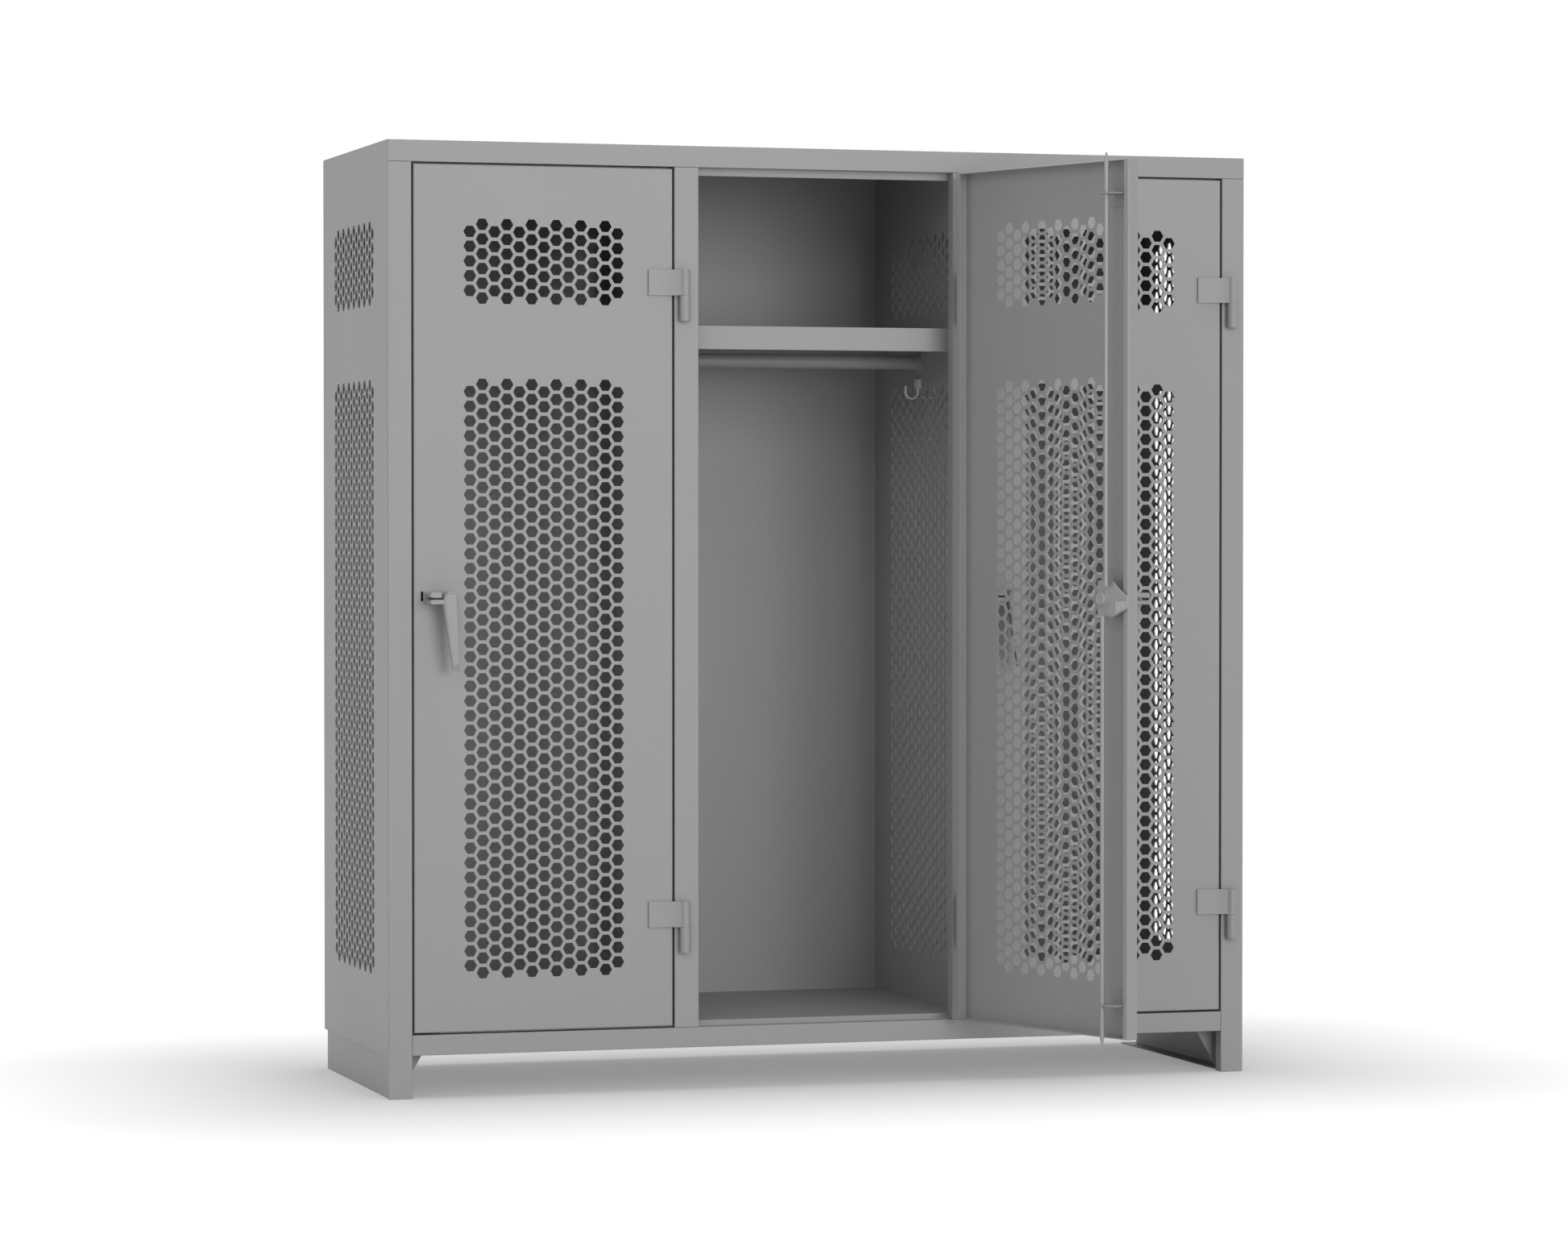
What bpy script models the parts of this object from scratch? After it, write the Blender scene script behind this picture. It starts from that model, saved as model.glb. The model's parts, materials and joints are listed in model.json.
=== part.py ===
"""Ventilated steel locker: a welded case of three bays, each with a perforated swing door.

Frame: metres, +Z up, the front looks along -Y. Every piece is modelled in case coordinates, where x runs
from the left side, y back from the front face and z up from the floor. One empty, "case_origin", carries
those coordinates to the part's own origin, the bottom centre of its box with the middle door open.
The doors hang on empties at their hinge axes, the latches on empties at their spindles.
"""

import math

import bmesh
import bpy
from mathutils import Matrix, Vector

# Case
CASE_WIDTH = 1.8288
CASE_HEIGHT = 1.9118
CASE_DEPTH = 0.6249
CASE_SHEET = 0.0027
SEAT = 0.0003
CUT_OVERRUN = 0.004
MERGE_DISTANCE = 0.00003
DOOR_COUNT = 3

# Front frame
END_STILE_WIDTH = 0.0485
MID_STILE_WIDTH = 0.0505
STILE_DEPTH = 0.030
HEADER_HEIGHT = 0.043
STOP_LIP_DROP = 0.0152
RAIL_LOW = 0.0861
RAIL_HEIGHT = 0.041
DOOR_GAP = 0.004

# Floor, top and wall panels
FLOOR_TOP = 0.1377
FLOOR_FLANGE = 0.015
TOP_FLANGE = 0.015
WALL_LOW = 0.083
DIVIDER_IN_STILE = 0.0341

# Leg skids and gussets
SKID_DEPTH = 0.609
SKID_FOOT_WIDTH = 0.038
GUSSET_BEHIND = 0.025
GUSSET_FOOT_WIDTH = 0.0295
GUSSET_SLOPE_SHARE = 0.576

# Shelves
SHELF_BELOW_TOP = 0.3604
SHELF_LIP_HEIGHT = 0.0480
SHELF_FRONT = 0.052
SHELF_RETURN = 0.015
SHELF_FLANGE = 0.022

# Coat rods
COAT_ROD_DIAMETER = 0.030
COAT_ROD_BELOW_SHELF = 0.0623
COAT_ROD_BACK = 0.312
ROD_PLATE_SIDE = 0.047
ROD_PLATE_THICKNESS = 0.003
ROD_SOCKET_WALL = 0.0032
ROD_SOCKET_LENGTH = 0.011

# Coat hooks
HOOK_WIRE = 0.0053
HOOK_REACH = 0.0325
HOOK_BACK = 0.320
HOOK_PLATE_WIDTH = 0.033
HOOK_PLATE_HEIGHT = 0.0195
HOOK_PLATE_BELOW_SHELF = 0.1168
HOOK_LOW_BELOW_PLATE = 0.024
HOOK_TIP_ABOVE_PLATE_LOW = 0.0063
HOOK_PLATE_THICKNESS = 0.0055

# Doors
DOOR_SHEET = 0.0020
DOOR_FLANGE = 0.027
DOOR_RETURN = 0.013
MIDDLE_DOOR_OPEN = math.radians(110.2)

# Hinges
HINGE_BESIDE_DOOR = 0.023
HINGE_STAND_OFF = 0.0113
FRAME_BARREL_DIAMETER = 0.022
DOOR_BARREL_DIAMETER = 0.020
BARREL_LENGTH = 0.0520
LEAF_LENGTH = 0.0745
LEAF_FLAT = 0.0384
LEAF_THICKNESS = 0.005
LEAF_HEIGHT = 0.0520
LEAF_OUTER_MEET = math.radians(205)
LEAF_INNER_MEET = math.radians(165)
LEAF_INNER_MEET_SHARE = 0.8
PIN_DIAMETER = 0.012
PIN_LENGTH = 0.042
PIN_END_ROOM = 0.001
UPPER_HINGE_BELOW_TOP = 0.3030
LOWER_HINGE_PARTING = 0.3316

# Perforation of doors, side panels and dividers
COLUMN_PITCH = 0.02544
ROW_PITCH = 0.02944
HOLE_FLATS = 0.0227
COARSE_STEP = 4
LOWER_ZONE_CENTRE = 0.838
ROWS_ABOVE_FLOOR = 0.120
ROWS_BELOW_UPPER_ZONE = 0.250
COLUMN_FROM_SIDE = 0.130
UPPER_ZONE_BELOW_TOP = 0.2394
UPPER_ZONE_STAGGER_SHARE = 0.25
WALL_PATTERN_CENTRE = 0.321

# Latch: a point is given from the spindle, with depth counted inwards from the door's face
SPINDLE_FROM_EDGE = 0.064
LATCH_HEIGHT = 1.000
SPINDLE_DIAMETER = 0.012
SPINDLE_PLAY = 0.0005
CAM_DEPTH = 0.0303
CAM_THICKNESS = 0.0037
CAM_TIP_REACH = 0.072
CAM_TIP_HALF = 0.0075
CAM_SHOULDER_REACH = 0.029
CAM_SHOULDER_HALF = 0.0315
CAM_LOBE_NEAR = 0.024
CAM_LOBE_FAR = 0.019
CAM_LOBE_HALF = 0.0365
NUT_DIAMETER = 0.038
NUT_END = 0.0378
BOSS_DIAMETER = 0.025
BOSS_END = 0.045

# Latch rods and their guides
LATCH_ROD_DIAMETER = 0.0095
LATCH_ROD_DEPTH = 0.043
UPPER_ROD_FROM_EDGE = 0.047
LOWER_ROD_FROM_EDGE = 0.057
UPPER_ROD_START = 0.0245
LOWER_ROD_START = 0.033
LATCH_ROD_BEYOND_DOOR = 0.013
LATCH_ROD_CONE = 0.0175
LATCH_ROD_TIP_DIAMETER = 0.003
KEEPER_HOLE_DIAMETER = 0.016
GUIDE_THICKNESS = 0.0025
GUIDE_NEAR = 0.016
GUIDE_WIDTH = 0.054
GUIDE_DEPTH = 0.050
GUIDE_LEG = 0.026
GUIDE_HOLE_DIAMETER = 0.011
GUIDE_FROM_DOOR_END = 0.0661

# Handle, outside the door
ESCUTCHEON_THICKNESS = 0.0027
ESCUTCHEON_HALF_HEIGHT = 0.0135
ESCUTCHEON_BEYOND = 0.015
HEAD_DIAMETER = 0.026
HEAD_OUT = 0.050
LUG_REACH = 0.0415
LUG_NEAR_END = 0.0188
LUG_OUT = 0.051
LUG_PART_ABOVE = 0.0009
LUG_SLOT = 0.004
UPPER_LUG_HEIGHT = 0.0106
LOWER_LUG_HEIGHT = 0.0089
HASP_SLOT_FROM_EDGE = 0.0142
HASP_SLOT_WIDTH = 0.0053
HASP_SLOT_BELOW = 0.0066
HASP_SLOT_ABOVE = 0.0127

# Lever stations from the spindle: height, left, right, and how far its inner and outer faces stand out
LEVER_STATIONS = (
    (0.0095, -0.0143, 0.0145, 0.0320, 0.0525),
    (-0.0120, -0.0147, 0.0151, 0.0330, 0.0530),
    (-0.1465, 0.0043, 0.0184, 0.0430, 0.0530),
)

# Sides of round pieces and smooth shading
ROUND_SIDES = 20
COAT_ROD_SIDES = 24
HEXAGON_SIDES = 6
HOOK_ARC_STEPS = 8
SHARP_ANGLE = math.radians(30)

# Finishes: name, colour, roughness, metallic
CASE_PAINT = ("case_paint", (0.33, 0.33, 0.33), 0.45, 0.0)
DOOR_PAINT = ("door_paint", (0.34, 0.34, 0.34), 0.45, 0.0)
FITTING_PAINT = ("fitting_paint", (0.32, 0.32, 0.32), 0.40, 0.0)
PLAIN_STEEL = ("plain_steel", (0.40, 0.40, 0.40), 0.35, 0.6)

# Places that follow from the sizes
DOOR_WIDTH = (
    CASE_WIDTH - 2 * END_STILE_WIDTH - (DOOR_COUNT - 1) * MID_STILE_WIDTH
) / DOOR_COUNT - 2 * DOOR_GAP
BAY_PITCH = DOOR_WIDTH + 2 * DOOR_GAP + MID_STILE_WIDTH
RAIL_TOP = RAIL_LOW + RAIL_HEIGHT
HEADER_LOW = CASE_HEIGHT - HEADER_HEIGHT
DOOR_LOW = RAIL_TOP + DOOR_GAP
DOOR_HIGH = HEADER_LOW - DOOR_GAP
SHELF_TOP = CASE_HEIGHT - SHELF_BELOW_TOP
COAT_ROD_HEIGHT = SHELF_TOP - COAT_ROD_BELOW_SHELF
HOOK_PLATE_LOW = SHELF_TOP - HOOK_PLATE_BELOW_SHELF
HOOK_LOW = HOOK_PLATE_LOW - HOOK_LOW_BELOW_PLATE
HOOK_TIP = HOOK_PLATE_LOW + HOOK_TIP_ABOVE_PLATE_LOW
UPPER_HINGE_PARTING = CASE_HEIGHT - UPPER_HINGE_BELOW_TOP
UPPER_ZONE_CENTRE = CASE_HEIGHT - UPPER_ZONE_BELOW_TOP
LOWER_ZONE_ROOM = min(
    UPPER_ZONE_CENTRE - ROWS_BELOW_UPPER_ZONE - LOWER_ZONE_CENTRE,
    LOWER_ZONE_CENTRE - FLOOR_TOP - ROWS_ABOVE_FLOOR,
)
LONG_COLUMN_ROWS = 1 + int(2 * LOWER_ZONE_ROOM / (ROW_PITCH * COARSE_STEP))
WALL_INSIDE = CASE_SHEET + SEAT
BACK_INSIDE = CASE_DEPTH - CASE_SHEET
WALL_HALF_ROOM = min(WALL_PATTERN_CENTRE - WALL_INSIDE, BACK_INSIDE - WALL_PATTERN_CENTRE)
FLOOR_UNDER = FLOOR_TOP - CASE_SHEET
FLOOR_FRONT = STILE_DEPTH + SEAT
RAIL_RETURN = FLOOR_FRONT + CASE_SHEET + SEAT
HINGE_REACH = DOOR_WIDTH + HINGE_BESIDE_DOOR
CAM_REACH = HINGE_REACH - SPINDLE_FROM_EDGE + CAM_TIP_REACH
CAM_BACK = CAM_DEPTH + CAM_THICKNESS + HINGE_STAND_OFF
FRONT_REACH = (
    CAM_REACH * math.sin(MIDDLE_DOOR_OPEN)
    - CAM_BACK * math.cos(MIDDLE_DOOR_OPEN)
    + HINGE_STAND_OFF
)
FRONT_Y = -(CASE_DEPTH - FRONT_REACH) / 2
BAY_NAMES = ("left", "middle", "right")
HINGE_PARTINGS = (("upper", UPPER_HINGE_PARTING), ("lower", LOWER_HINGE_PARTING))
DOOR_ANGLES = (0, MIDDLE_DOOR_OPEN, 0)


def clear_scene():
    """Remove everything that the scene starts with."""
    for thing in list(bpy.data.objects):
        bpy.data.objects.remove(thing, do_unlink=True)


def paint(finish):
    """Return the material of a finish, made once."""
    name, colour, roughness, metallic = finish
    material = bpy.data.materials.get(name)
    if material is None:
        material = bpy.data.materials.new(name)
        material.use_nodes = True
        shader = material.node_tree.nodes["Principled BSDF"]
        shader.inputs["Base Color"].default_value = (*colour, 1)
        shader.inputs["Roughness"].default_value = roughness
        shader.inputs["Metallic"].default_value = metallic
    return material


def empty(name, place, parent=None, turn=0):
    """Add an empty at a place in its parent's frame, turned about Z."""
    pivot = bpy.data.objects.new(name, None)
    bpy.context.scene.collection.objects.link(pivot)
    pivot.parent = parent
    pivot.location = place
    pivot.rotation_euler = (0, 0, turn)
    return pivot


def piece(name, mesh, parent, finish):
    """Add a finished mesh as one named object."""
    mesh.name = name
    thing = bpy.data.objects.new(name, mesh)
    bpy.context.scene.collection.objects.link(thing)
    thing.parent = parent
    mesh.materials.clear()
    mesh.materials.append(paint(finish))
    mesh.shade_smooth()
    mesh.set_sharp_from_angle(angle=SHARP_ANGLE)
    return thing


def to_mesh(shape):
    """Turn a bmesh into a mesh with its faces pointing out."""
    bmesh.ops.recalc_face_normals(shape, faces=shape.faces)
    mesh = bpy.data.meshes.new("shape")
    shape.to_mesh(mesh)
    shape.free()
    return mesh


def in_space(point, axis, along):
    """Place an outline's point: (y, z) along X, (x, z) along Y, (x, y) along Z."""
    first, second = point
    places = {
        "X": (along, first, second),
        "Y": (first, along, second),
        "Z": (first, second, along),
    }
    return places[axis]


def prism(outline, axis, start, end):
    """Extrude an outline along an axis from start to end."""
    shape = bmesh.new()
    corners = [shape.verts.new(in_space(point, axis, start)) for point in outline]
    face = shape.faces.new(corners)
    grown = bmesh.ops.extrude_face_region(shape, geom=[face])
    shift = Vector(in_space((0, 0), axis, end - start))
    new_corners = [item for item in grown["geom"] if isinstance(item, bmesh.types.BMVert)]
    bmesh.ops.translate(shape, verts=new_corners, vec=shift)
    return to_mesh(shape)


def block(x_range, y_range, z_range):
    """A plain block between two values on each axis."""
    (left, right), (front, back) = x_range, y_range
    outline = [(left, front), (right, front), (right, back), (left, back)]
    return prism(outline, "Z", *z_range)


def ring_outline(centre, radius, sides, start_angle=0):
    """Points of a regular polygon about a centre."""
    turns = [start_angle + math.tau * step / sides for step in range(sides)]
    return [
        (centre[0] + radius * math.cos(turn), centre[1] + radius * math.sin(turn))
        for turn in turns
    ]


def cylinder(centre, diameter, axis, start, end, sides=ROUND_SIDES):
    """A round bar along an axis, its centre given as an outline's point."""
    return prism(ring_outline(centre, diameter / 2, sides), axis, start, end)


def turned(profile, sides=ROUND_SIDES):
    """Turn a profile of (radius, height) points about the Z axis, closed at both ends."""
    shape = bmesh.new()
    rings = []
    for radius, height in profile:
        points = ring_outline((0, 0), radius, sides)
        rings.append([shape.verts.new((x, y, height)) for x, y in points])
    for low, high in zip(rings, rings[1:]):
        for step in range(sides):
            after = (step + 1) % sides
            shape.faces.new((low[step], low[after], high[after], high[step]))
    shape.faces.new(rings[0])
    shape.faces.new(rings[-1])
    return to_mesh(shape)


def hull(points):
    """The convex solid of a list of points."""
    shape = bmesh.new()
    for point in points:
        shape.verts.new(point)
    bmesh.ops.convex_hull(shape, input=shape.verts)
    return to_mesh(shape)


def together(meshes):
    """One mesh that holds several meshes side by side."""
    shape = bmesh.new()
    for mesh in meshes:
        shape.from_mesh(mesh)
    joined = bpy.data.meshes.new("joined")
    shape.to_mesh(joined)
    shape.free()
    return joined


def combined(base, tool, operation):
    """Boolean of two meshes with the exact solver."""
    body = bpy.data.objects.new("body", base)
    other = bpy.data.objects.new("tool", tool)
    for thing in (body, other):
        bpy.context.scene.collection.objects.link(thing)
    boolean = body.modifiers.new("boolean", "BOOLEAN")
    boolean.solver = "EXACT"
    boolean.operation = operation
    boolean.object = other
    graph = bpy.context.evaluated_depsgraph_get()
    result = bpy.data.meshes.new_from_object(body.evaluated_get(graph))
    bpy.data.objects.remove(body)
    bpy.data.objects.remove(other)
    return result


def fused(first, *others):
    """Join overlapping meshes into one solid."""
    result = first
    for other in others:
        result = combined(result, other, "UNION")
    return result


def cut(base, *tools):
    """Take every tool out of a mesh."""
    return combined(base, together(tools), "DIFFERENCE")


def moved(mesh, shift):
    """Shift a mesh and return it."""
    mesh.transform(Matrix.Translation(Vector(shift)))
    return mesh


def door_left(bay):
    """x of a closed door's free edge."""
    return END_STILE_WIDTH + DOOR_GAP + bay * BAY_PITCH


def hinge_x(bay):
    """x of a door's hinge axis."""
    return door_left(bay) + HINGE_REACH


def divider_left(index):
    """x of a divider's left face."""
    return END_STILE_WIDTH + (index + 1) * BAY_PITCH - MID_STILE_WIDTH + DIVIDER_IN_STILE


def bay_walls(bay):
    """x of the inner faces of a bay's left and right walls."""
    left = CASE_SHEET if bay == 0 else divider_left(bay - 1) + CASE_SHEET
    right = CASE_WIDTH - CASE_SHEET if bay == DOOR_COUNT - 1 else divider_left(bay)
    return left, right


def hexagon(centre):
    """A perforation with its flats at top and bottom."""
    radius = HOLE_FLATS * COARSE_STEP / math.sqrt(3)
    return ring_outline(centre, radius, HEXAGON_SIDES)


def perforation(centre, half_room, axis, start, end):
    """Cutters of both perforated zones, about a centre line, in a sheet between start and end.

    Each side of the centre line has as many columns as its half room holds.
    """
    rows = ROW_PITCH * COARSE_STEP
    columns = COLUMN_PITCH * COARSE_STEP
    side_columns = int((half_room - COLUMN_FROM_SIDE) / columns)
    places = []
    for column in range(-side_columns, side_columns + 1):
        across = centre + column * columns
        count = LONG_COLUMN_ROWS if column % 2 else LONG_COLUMN_ROWS - 1
        for row in range(count):
            places.append((across, LOWER_ZONE_CENTRE + (row - (count - 1) / 2) * rows))
        side = 1 if column % 2 else -1
        places.append((across, UPPER_ZONE_CENTRE + side * UPPER_ZONE_STAGGER_SHARE * rows))
    return [prism(hexagon(place), axis, start, end) for place in places]


def build_walls(case):
    """Side panels and dividers, each a flat perforated sheet, and the plain back panel."""
    depth = (WALL_INSIDE, BACK_INSIDE - SEAT)
    for name, left in (("left", 0), ("right", CASE_WIDTH - CASE_SHEET)):
        sheet = block((left, left + CASE_SHEET), depth, (WALL_LOW, CASE_HEIGHT))
        reach = (left - CUT_OVERRUN, left + CASE_SHEET + CUT_OVERRUN)
        sheet = cut(sheet, *perforation(WALL_PATTERN_CENTRE, WALL_HALF_ROOM, "X", *reach))
        piece(f"side_panel_{name}", sheet, case, CASE_PAINT)
    top_under = CASE_HEIGHT - CASE_SHEET - SEAT
    divider_outline = [
        (STILE_DEPTH + SEAT, FLOOR_TOP + SEAT),
        (BACK_INSIDE - SEAT, FLOOR_TOP + SEAT),
        (BACK_INSIDE - SEAT, top_under),
        (STILE_DEPTH + SEAT, top_under),
        (STILE_DEPTH + SEAT, HEADER_LOW - SEAT),
        (WALL_INSIDE, HEADER_LOW - SEAT),
        (WALL_INSIDE, FLOOR_TOP + SEAT),
    ]
    for index, name in enumerate(("left", "right")):
        left = divider_left(index)
        sheet = prism(divider_outline, "X", left, left + CASE_SHEET)
        reach = (left - CUT_OVERRUN, left + CASE_SHEET + CUT_OVERRUN)
        sheet = cut(sheet, *perforation(WALL_PATTERN_CENTRE, WALL_HALF_ROOM, "X", *reach))
        piece(f"divider_{name}", sheet, case, CASE_PAINT)
    back = block((0, CASE_WIDTH), (BACK_INSIDE, CASE_DEPTH), (WALL_LOW, CASE_HEIGHT))
    piece("back_panel", back, case, CASE_PAINT)


def build_top(case):
    """Top panel with side flanges turned down inside the side panels."""
    flange_low = CASE_HEIGHT - CASE_SHEET - TOP_FLANGE
    left, right = WALL_INSIDE, CASE_WIDTH - WALL_INSIDE
    outline = [
        (left, CASE_HEIGHT),
        (left, flange_low),
        (left + CASE_SHEET, flange_low),
        (left + CASE_SHEET, CASE_HEIGHT - CASE_SHEET),
        (right - CASE_SHEET, CASE_HEIGHT - CASE_SHEET),
        (right - CASE_SHEET, flange_low),
        (right, flange_low),
        (right, CASE_HEIGHT),
    ]
    top = prism(outline, "Y", STILE_DEPTH + SEAT, BACK_INSIDE - SEAT)
    piece("top_panel", top, case, CASE_PAINT)


def build_header(case):
    """Header across the case: face, top and bottom returns, and a stop lip over each door."""
    outline = [
        (0, HEADER_LOW),
        (STILE_DEPTH, HEADER_LOW),
        (STILE_DEPTH, HEADER_LOW + CASE_SHEET),
        (CASE_SHEET, HEADER_LOW + CASE_SHEET),
        (CASE_SHEET, CASE_HEIGHT - CASE_SHEET),
        (STILE_DEPTH, CASE_HEIGHT - CASE_SHEET),
        (STILE_DEPTH, CASE_HEIGHT),
        (0, CASE_HEIGHT),
    ]
    header = prism(outline, "X", WALL_INSIDE, CASE_WIDTH - WALL_INSIDE)
    face = block((0, CASE_WIDTH), (0, CASE_SHEET), (HEADER_LOW, CASE_HEIGHT))
    header = fused(header, face)
    for bay in range(DOOR_COUNT):
        left = door_left(bay) - DOOR_GAP + SEAT
        right = left + DOOR_WIDTH + 2 * (DOOR_GAP - SEAT)
        depth = (STILE_DEPTH - CASE_SHEET, STILE_DEPTH)
        lip = block((left, right), depth, (HEADER_LOW - STOP_LIP_DROP, HEADER_LOW + CASE_SHEET))
        header = fused(header, lip)
    piece("header", header, case, CASE_PAINT)


def build_rail(case):
    """Bottom rail between the end stiles, its return carrying the stiles and the floor."""
    outline = [
        (0, RAIL_LOW),
        (CASE_SHEET, RAIL_LOW),
        (CASE_SHEET, RAIL_TOP - CASE_SHEET),
        (RAIL_RETURN, RAIL_TOP - CASE_SHEET),
        (RAIL_RETURN, RAIL_TOP),
        (0, RAIL_TOP),
    ]
    ends = (END_STILE_WIDTH + SEAT, CASE_WIDTH - END_STILE_WIDTH - SEAT)
    piece("bottom_rail", prism(outline, "X", *ends), case, CASE_PAINT)


def build_floor(case):
    """Floor panel with a front lip, side flanges and a keeper hole for each lower latch rod."""
    left, right = WALL_INSIDE, CASE_WIDTH - WALL_INSIDE
    lip_outline = [
        (FLOOR_FRONT, RAIL_TOP + SEAT),
        (FLOOR_FRONT + CASE_SHEET, RAIL_TOP + SEAT),
        (FLOOR_FRONT + CASE_SHEET, FLOOR_UNDER),
        (BACK_INSIDE - SEAT, FLOOR_UNDER),
        (BACK_INSIDE - SEAT, FLOOR_TOP),
        (FLOOR_FRONT, FLOOR_TOP),
    ]
    floor = prism(lip_outline, "X", left, right)
    flange_depth = (RAIL_RETURN + CASE_SHEET, BACK_INSIDE - SEAT)
    flange_height = (FLOOR_UNDER - FLOOR_FLANGE, FLOOR_TOP)
    floor = fused(
        floor,
        block((left, left + CASE_SHEET), flange_depth, flange_height),
        block((right - CASE_SHEET, right), flange_depth, flange_height),
    )
    keepers = []
    for bay in range(DOOR_COUNT):
        centre = (door_left(bay) + LOWER_ROD_FROM_EDGE, LATCH_ROD_DEPTH)
        height = (FLOOR_UNDER - CUT_OVERRUN, FLOOR_TOP + CUT_OVERRUN)
        keepers.append(cylinder(centre, KEEPER_HOLE_DIAMETER, "Z", *height))
    piece("floor_panel", cut(floor, *keepers), case, CASE_PAINT)


def build_stiles(case):
    """End stiles down to the floor, and mid stiles between the rail and the header."""
    outline = [
        (0, 0),
        (END_STILE_WIDTH, 0),
        (END_STILE_WIDTH, STILE_DEPTH),
        (END_STILE_WIDTH - CASE_SHEET, STILE_DEPTH),
        (END_STILE_WIDTH - CASE_SHEET, CASE_SHEET),
        (0, CASE_SHEET),
    ]
    high = HEADER_LOW - SEAT
    piece("end_stile_left", prism(outline, "Z", 0, high), case, CASE_PAINT)
    mirrored = [(CASE_WIDTH - x, y) for x, y in outline]
    piece("end_stile_right", prism(mirrored, "Z", 0, high), case, CASE_PAINT)
    for index, name in enumerate(("left", "right")):
        left = door_left(index) + DOOR_WIDTH + DOOR_GAP
        right = left + MID_STILE_WIDTH
        channel = [
            (left, 0),
            (right, 0),
            (right, STILE_DEPTH),
            (right - CASE_SHEET, STILE_DEPTH),
            (right - CASE_SHEET, CASE_SHEET),
            (left + CASE_SHEET, CASE_SHEET),
            (left + CASE_SHEET, STILE_DEPTH),
            (left, STILE_DEPTH),
        ]
        piece(f"mid_stile_{name}", prism(channel, "Z", RAIL_TOP + SEAT, high), case, CASE_PAINT)


def build_skids(case):
    """Leg skids along both sides, with a foot flange, and the gussets behind the front legs."""
    web_top = FLOOR_UNDER - FLOOR_FLANGE - SEAT
    outline = [
        (WALL_INSIDE, 0),
        (WALL_INSIDE + SKID_FOOT_WIDTH, 0),
        (WALL_INSIDE + SKID_FOOT_WIDTH, CASE_SHEET),
        (WALL_INSIDE + CASE_SHEET, CASE_SHEET),
        (WALL_INSIDE + CASE_SHEET, web_top),
        (WALL_INSIDE, web_top),
    ]
    mirrored = [(CASE_WIDTH - x, z) for x, z in outline]
    piece("leg_skid_left", prism(outline, "Y", WALL_INSIDE, SKID_DEPTH), case, CASE_PAINT)
    piece("leg_skid_right", prism(mirrored, "Y", WALL_INSIDE, SKID_DEPTH), case, CASE_PAINT)
    web = WALL_INSIDE + CASE_SHEET + SEAT
    low, high = CASE_SHEET + SEAT, FLOOR_UNDER - SEAT
    foot = web + GUSSET_FOOT_WIDTH
    triangle = [
        (web, low),
        (foot, low),
        (foot + GUSSET_SLOPE_SHARE * (high - low), high),
        (web + CASE_SHEET, high),
        (web + CASE_SHEET, web_top),
        (web, web_top),
    ]
    behind = (RAIL_RETURN + GUSSET_BEHIND, RAIL_RETURN + GUSSET_BEHIND + CASE_SHEET)
    other = [(CASE_WIDTH - x, z) for x, z in triangle]
    piece("leg_gusset_left", prism(triangle, "Y", *behind), case, CASE_PAINT)
    piece("leg_gusset_right", prism(other, "Y", *behind), case, CASE_PAINT)


def build_shelf(case, bay):
    """Shelf with a deep front lip, its return, and flanges against both walls."""
    wall_left, wall_right = bay_walls(bay)
    left, right = wall_left + SEAT, wall_right - SEAT
    lip_low = SHELF_TOP - SHELF_LIP_HEIGHT
    outline = [
        (SHELF_FRONT, lip_low),
        (SHELF_FRONT + SHELF_RETURN, lip_low),
        (SHELF_FRONT + SHELF_RETURN, lip_low + CASE_SHEET),
        (SHELF_FRONT + CASE_SHEET, lip_low + CASE_SHEET),
        (SHELF_FRONT + CASE_SHEET, SHELF_TOP - CASE_SHEET),
        (BACK_INSIDE - SEAT, SHELF_TOP - CASE_SHEET),
        (BACK_INSIDE - SEAT, SHELF_TOP),
        (SHELF_FRONT, SHELF_TOP),
    ]
    shelf = prism(outline, "X", left, right)
    depth = (SHELF_FRONT + SHELF_RETURN + CASE_SHEET, BACK_INSIDE - SEAT)
    height = (SHELF_TOP - CASE_SHEET - SHELF_FLANGE, SHELF_TOP)
    shelf = fused(
        shelf,
        block((left, left + CASE_SHEET), depth, height),
        block((right - CASE_SHEET, right), depth, height),
    )
    piece(f"shelf_{BAY_NAMES[bay]}", shelf, case, CASE_PAINT)


def build_coat_rod(case, bay):
    """Coat rod welded between two wall plates, each with a round socket about the rod."""
    wall_left, wall_right = bay_walls(bay)
    left, right = wall_left + SEAT, wall_right - SEAT
    centre = (COAT_ROD_BACK, COAT_ROD_HEIGHT)
    half = ROD_PLATE_SIDE / 2
    plate_y = (centre[0] - half, centre[0] + half)
    plate_z = (centre[1] - half, centre[1] + half)
    socket = COAT_ROD_DIAMETER + 2 * ROD_SOCKET_WALL
    into_plate = ROD_PLATE_THICKNESS / 2
    ends = (left + into_plate, right - into_plate)
    bar = cylinder(centre, COAT_ROD_DIAMETER, "X", *ends, sides=COAT_ROD_SIDES)
    for wall, inward in ((left, 1), (right, -1)):
        plate = block(sorted((wall, wall + inward * ROD_PLATE_THICKNESS)), plate_y, plate_z)
        reach = sorted((wall + inward * into_plate, wall + inward * ROD_SOCKET_LENGTH))
        ring = cylinder(centre, socket, "X", *reach, sides=COAT_ROD_SIDES)
        bar = fused(bar, plate, ring)
    piece(f"coat_rod_{BAY_NAMES[bay]}", bar, case, FITTING_PAINT)


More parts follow.
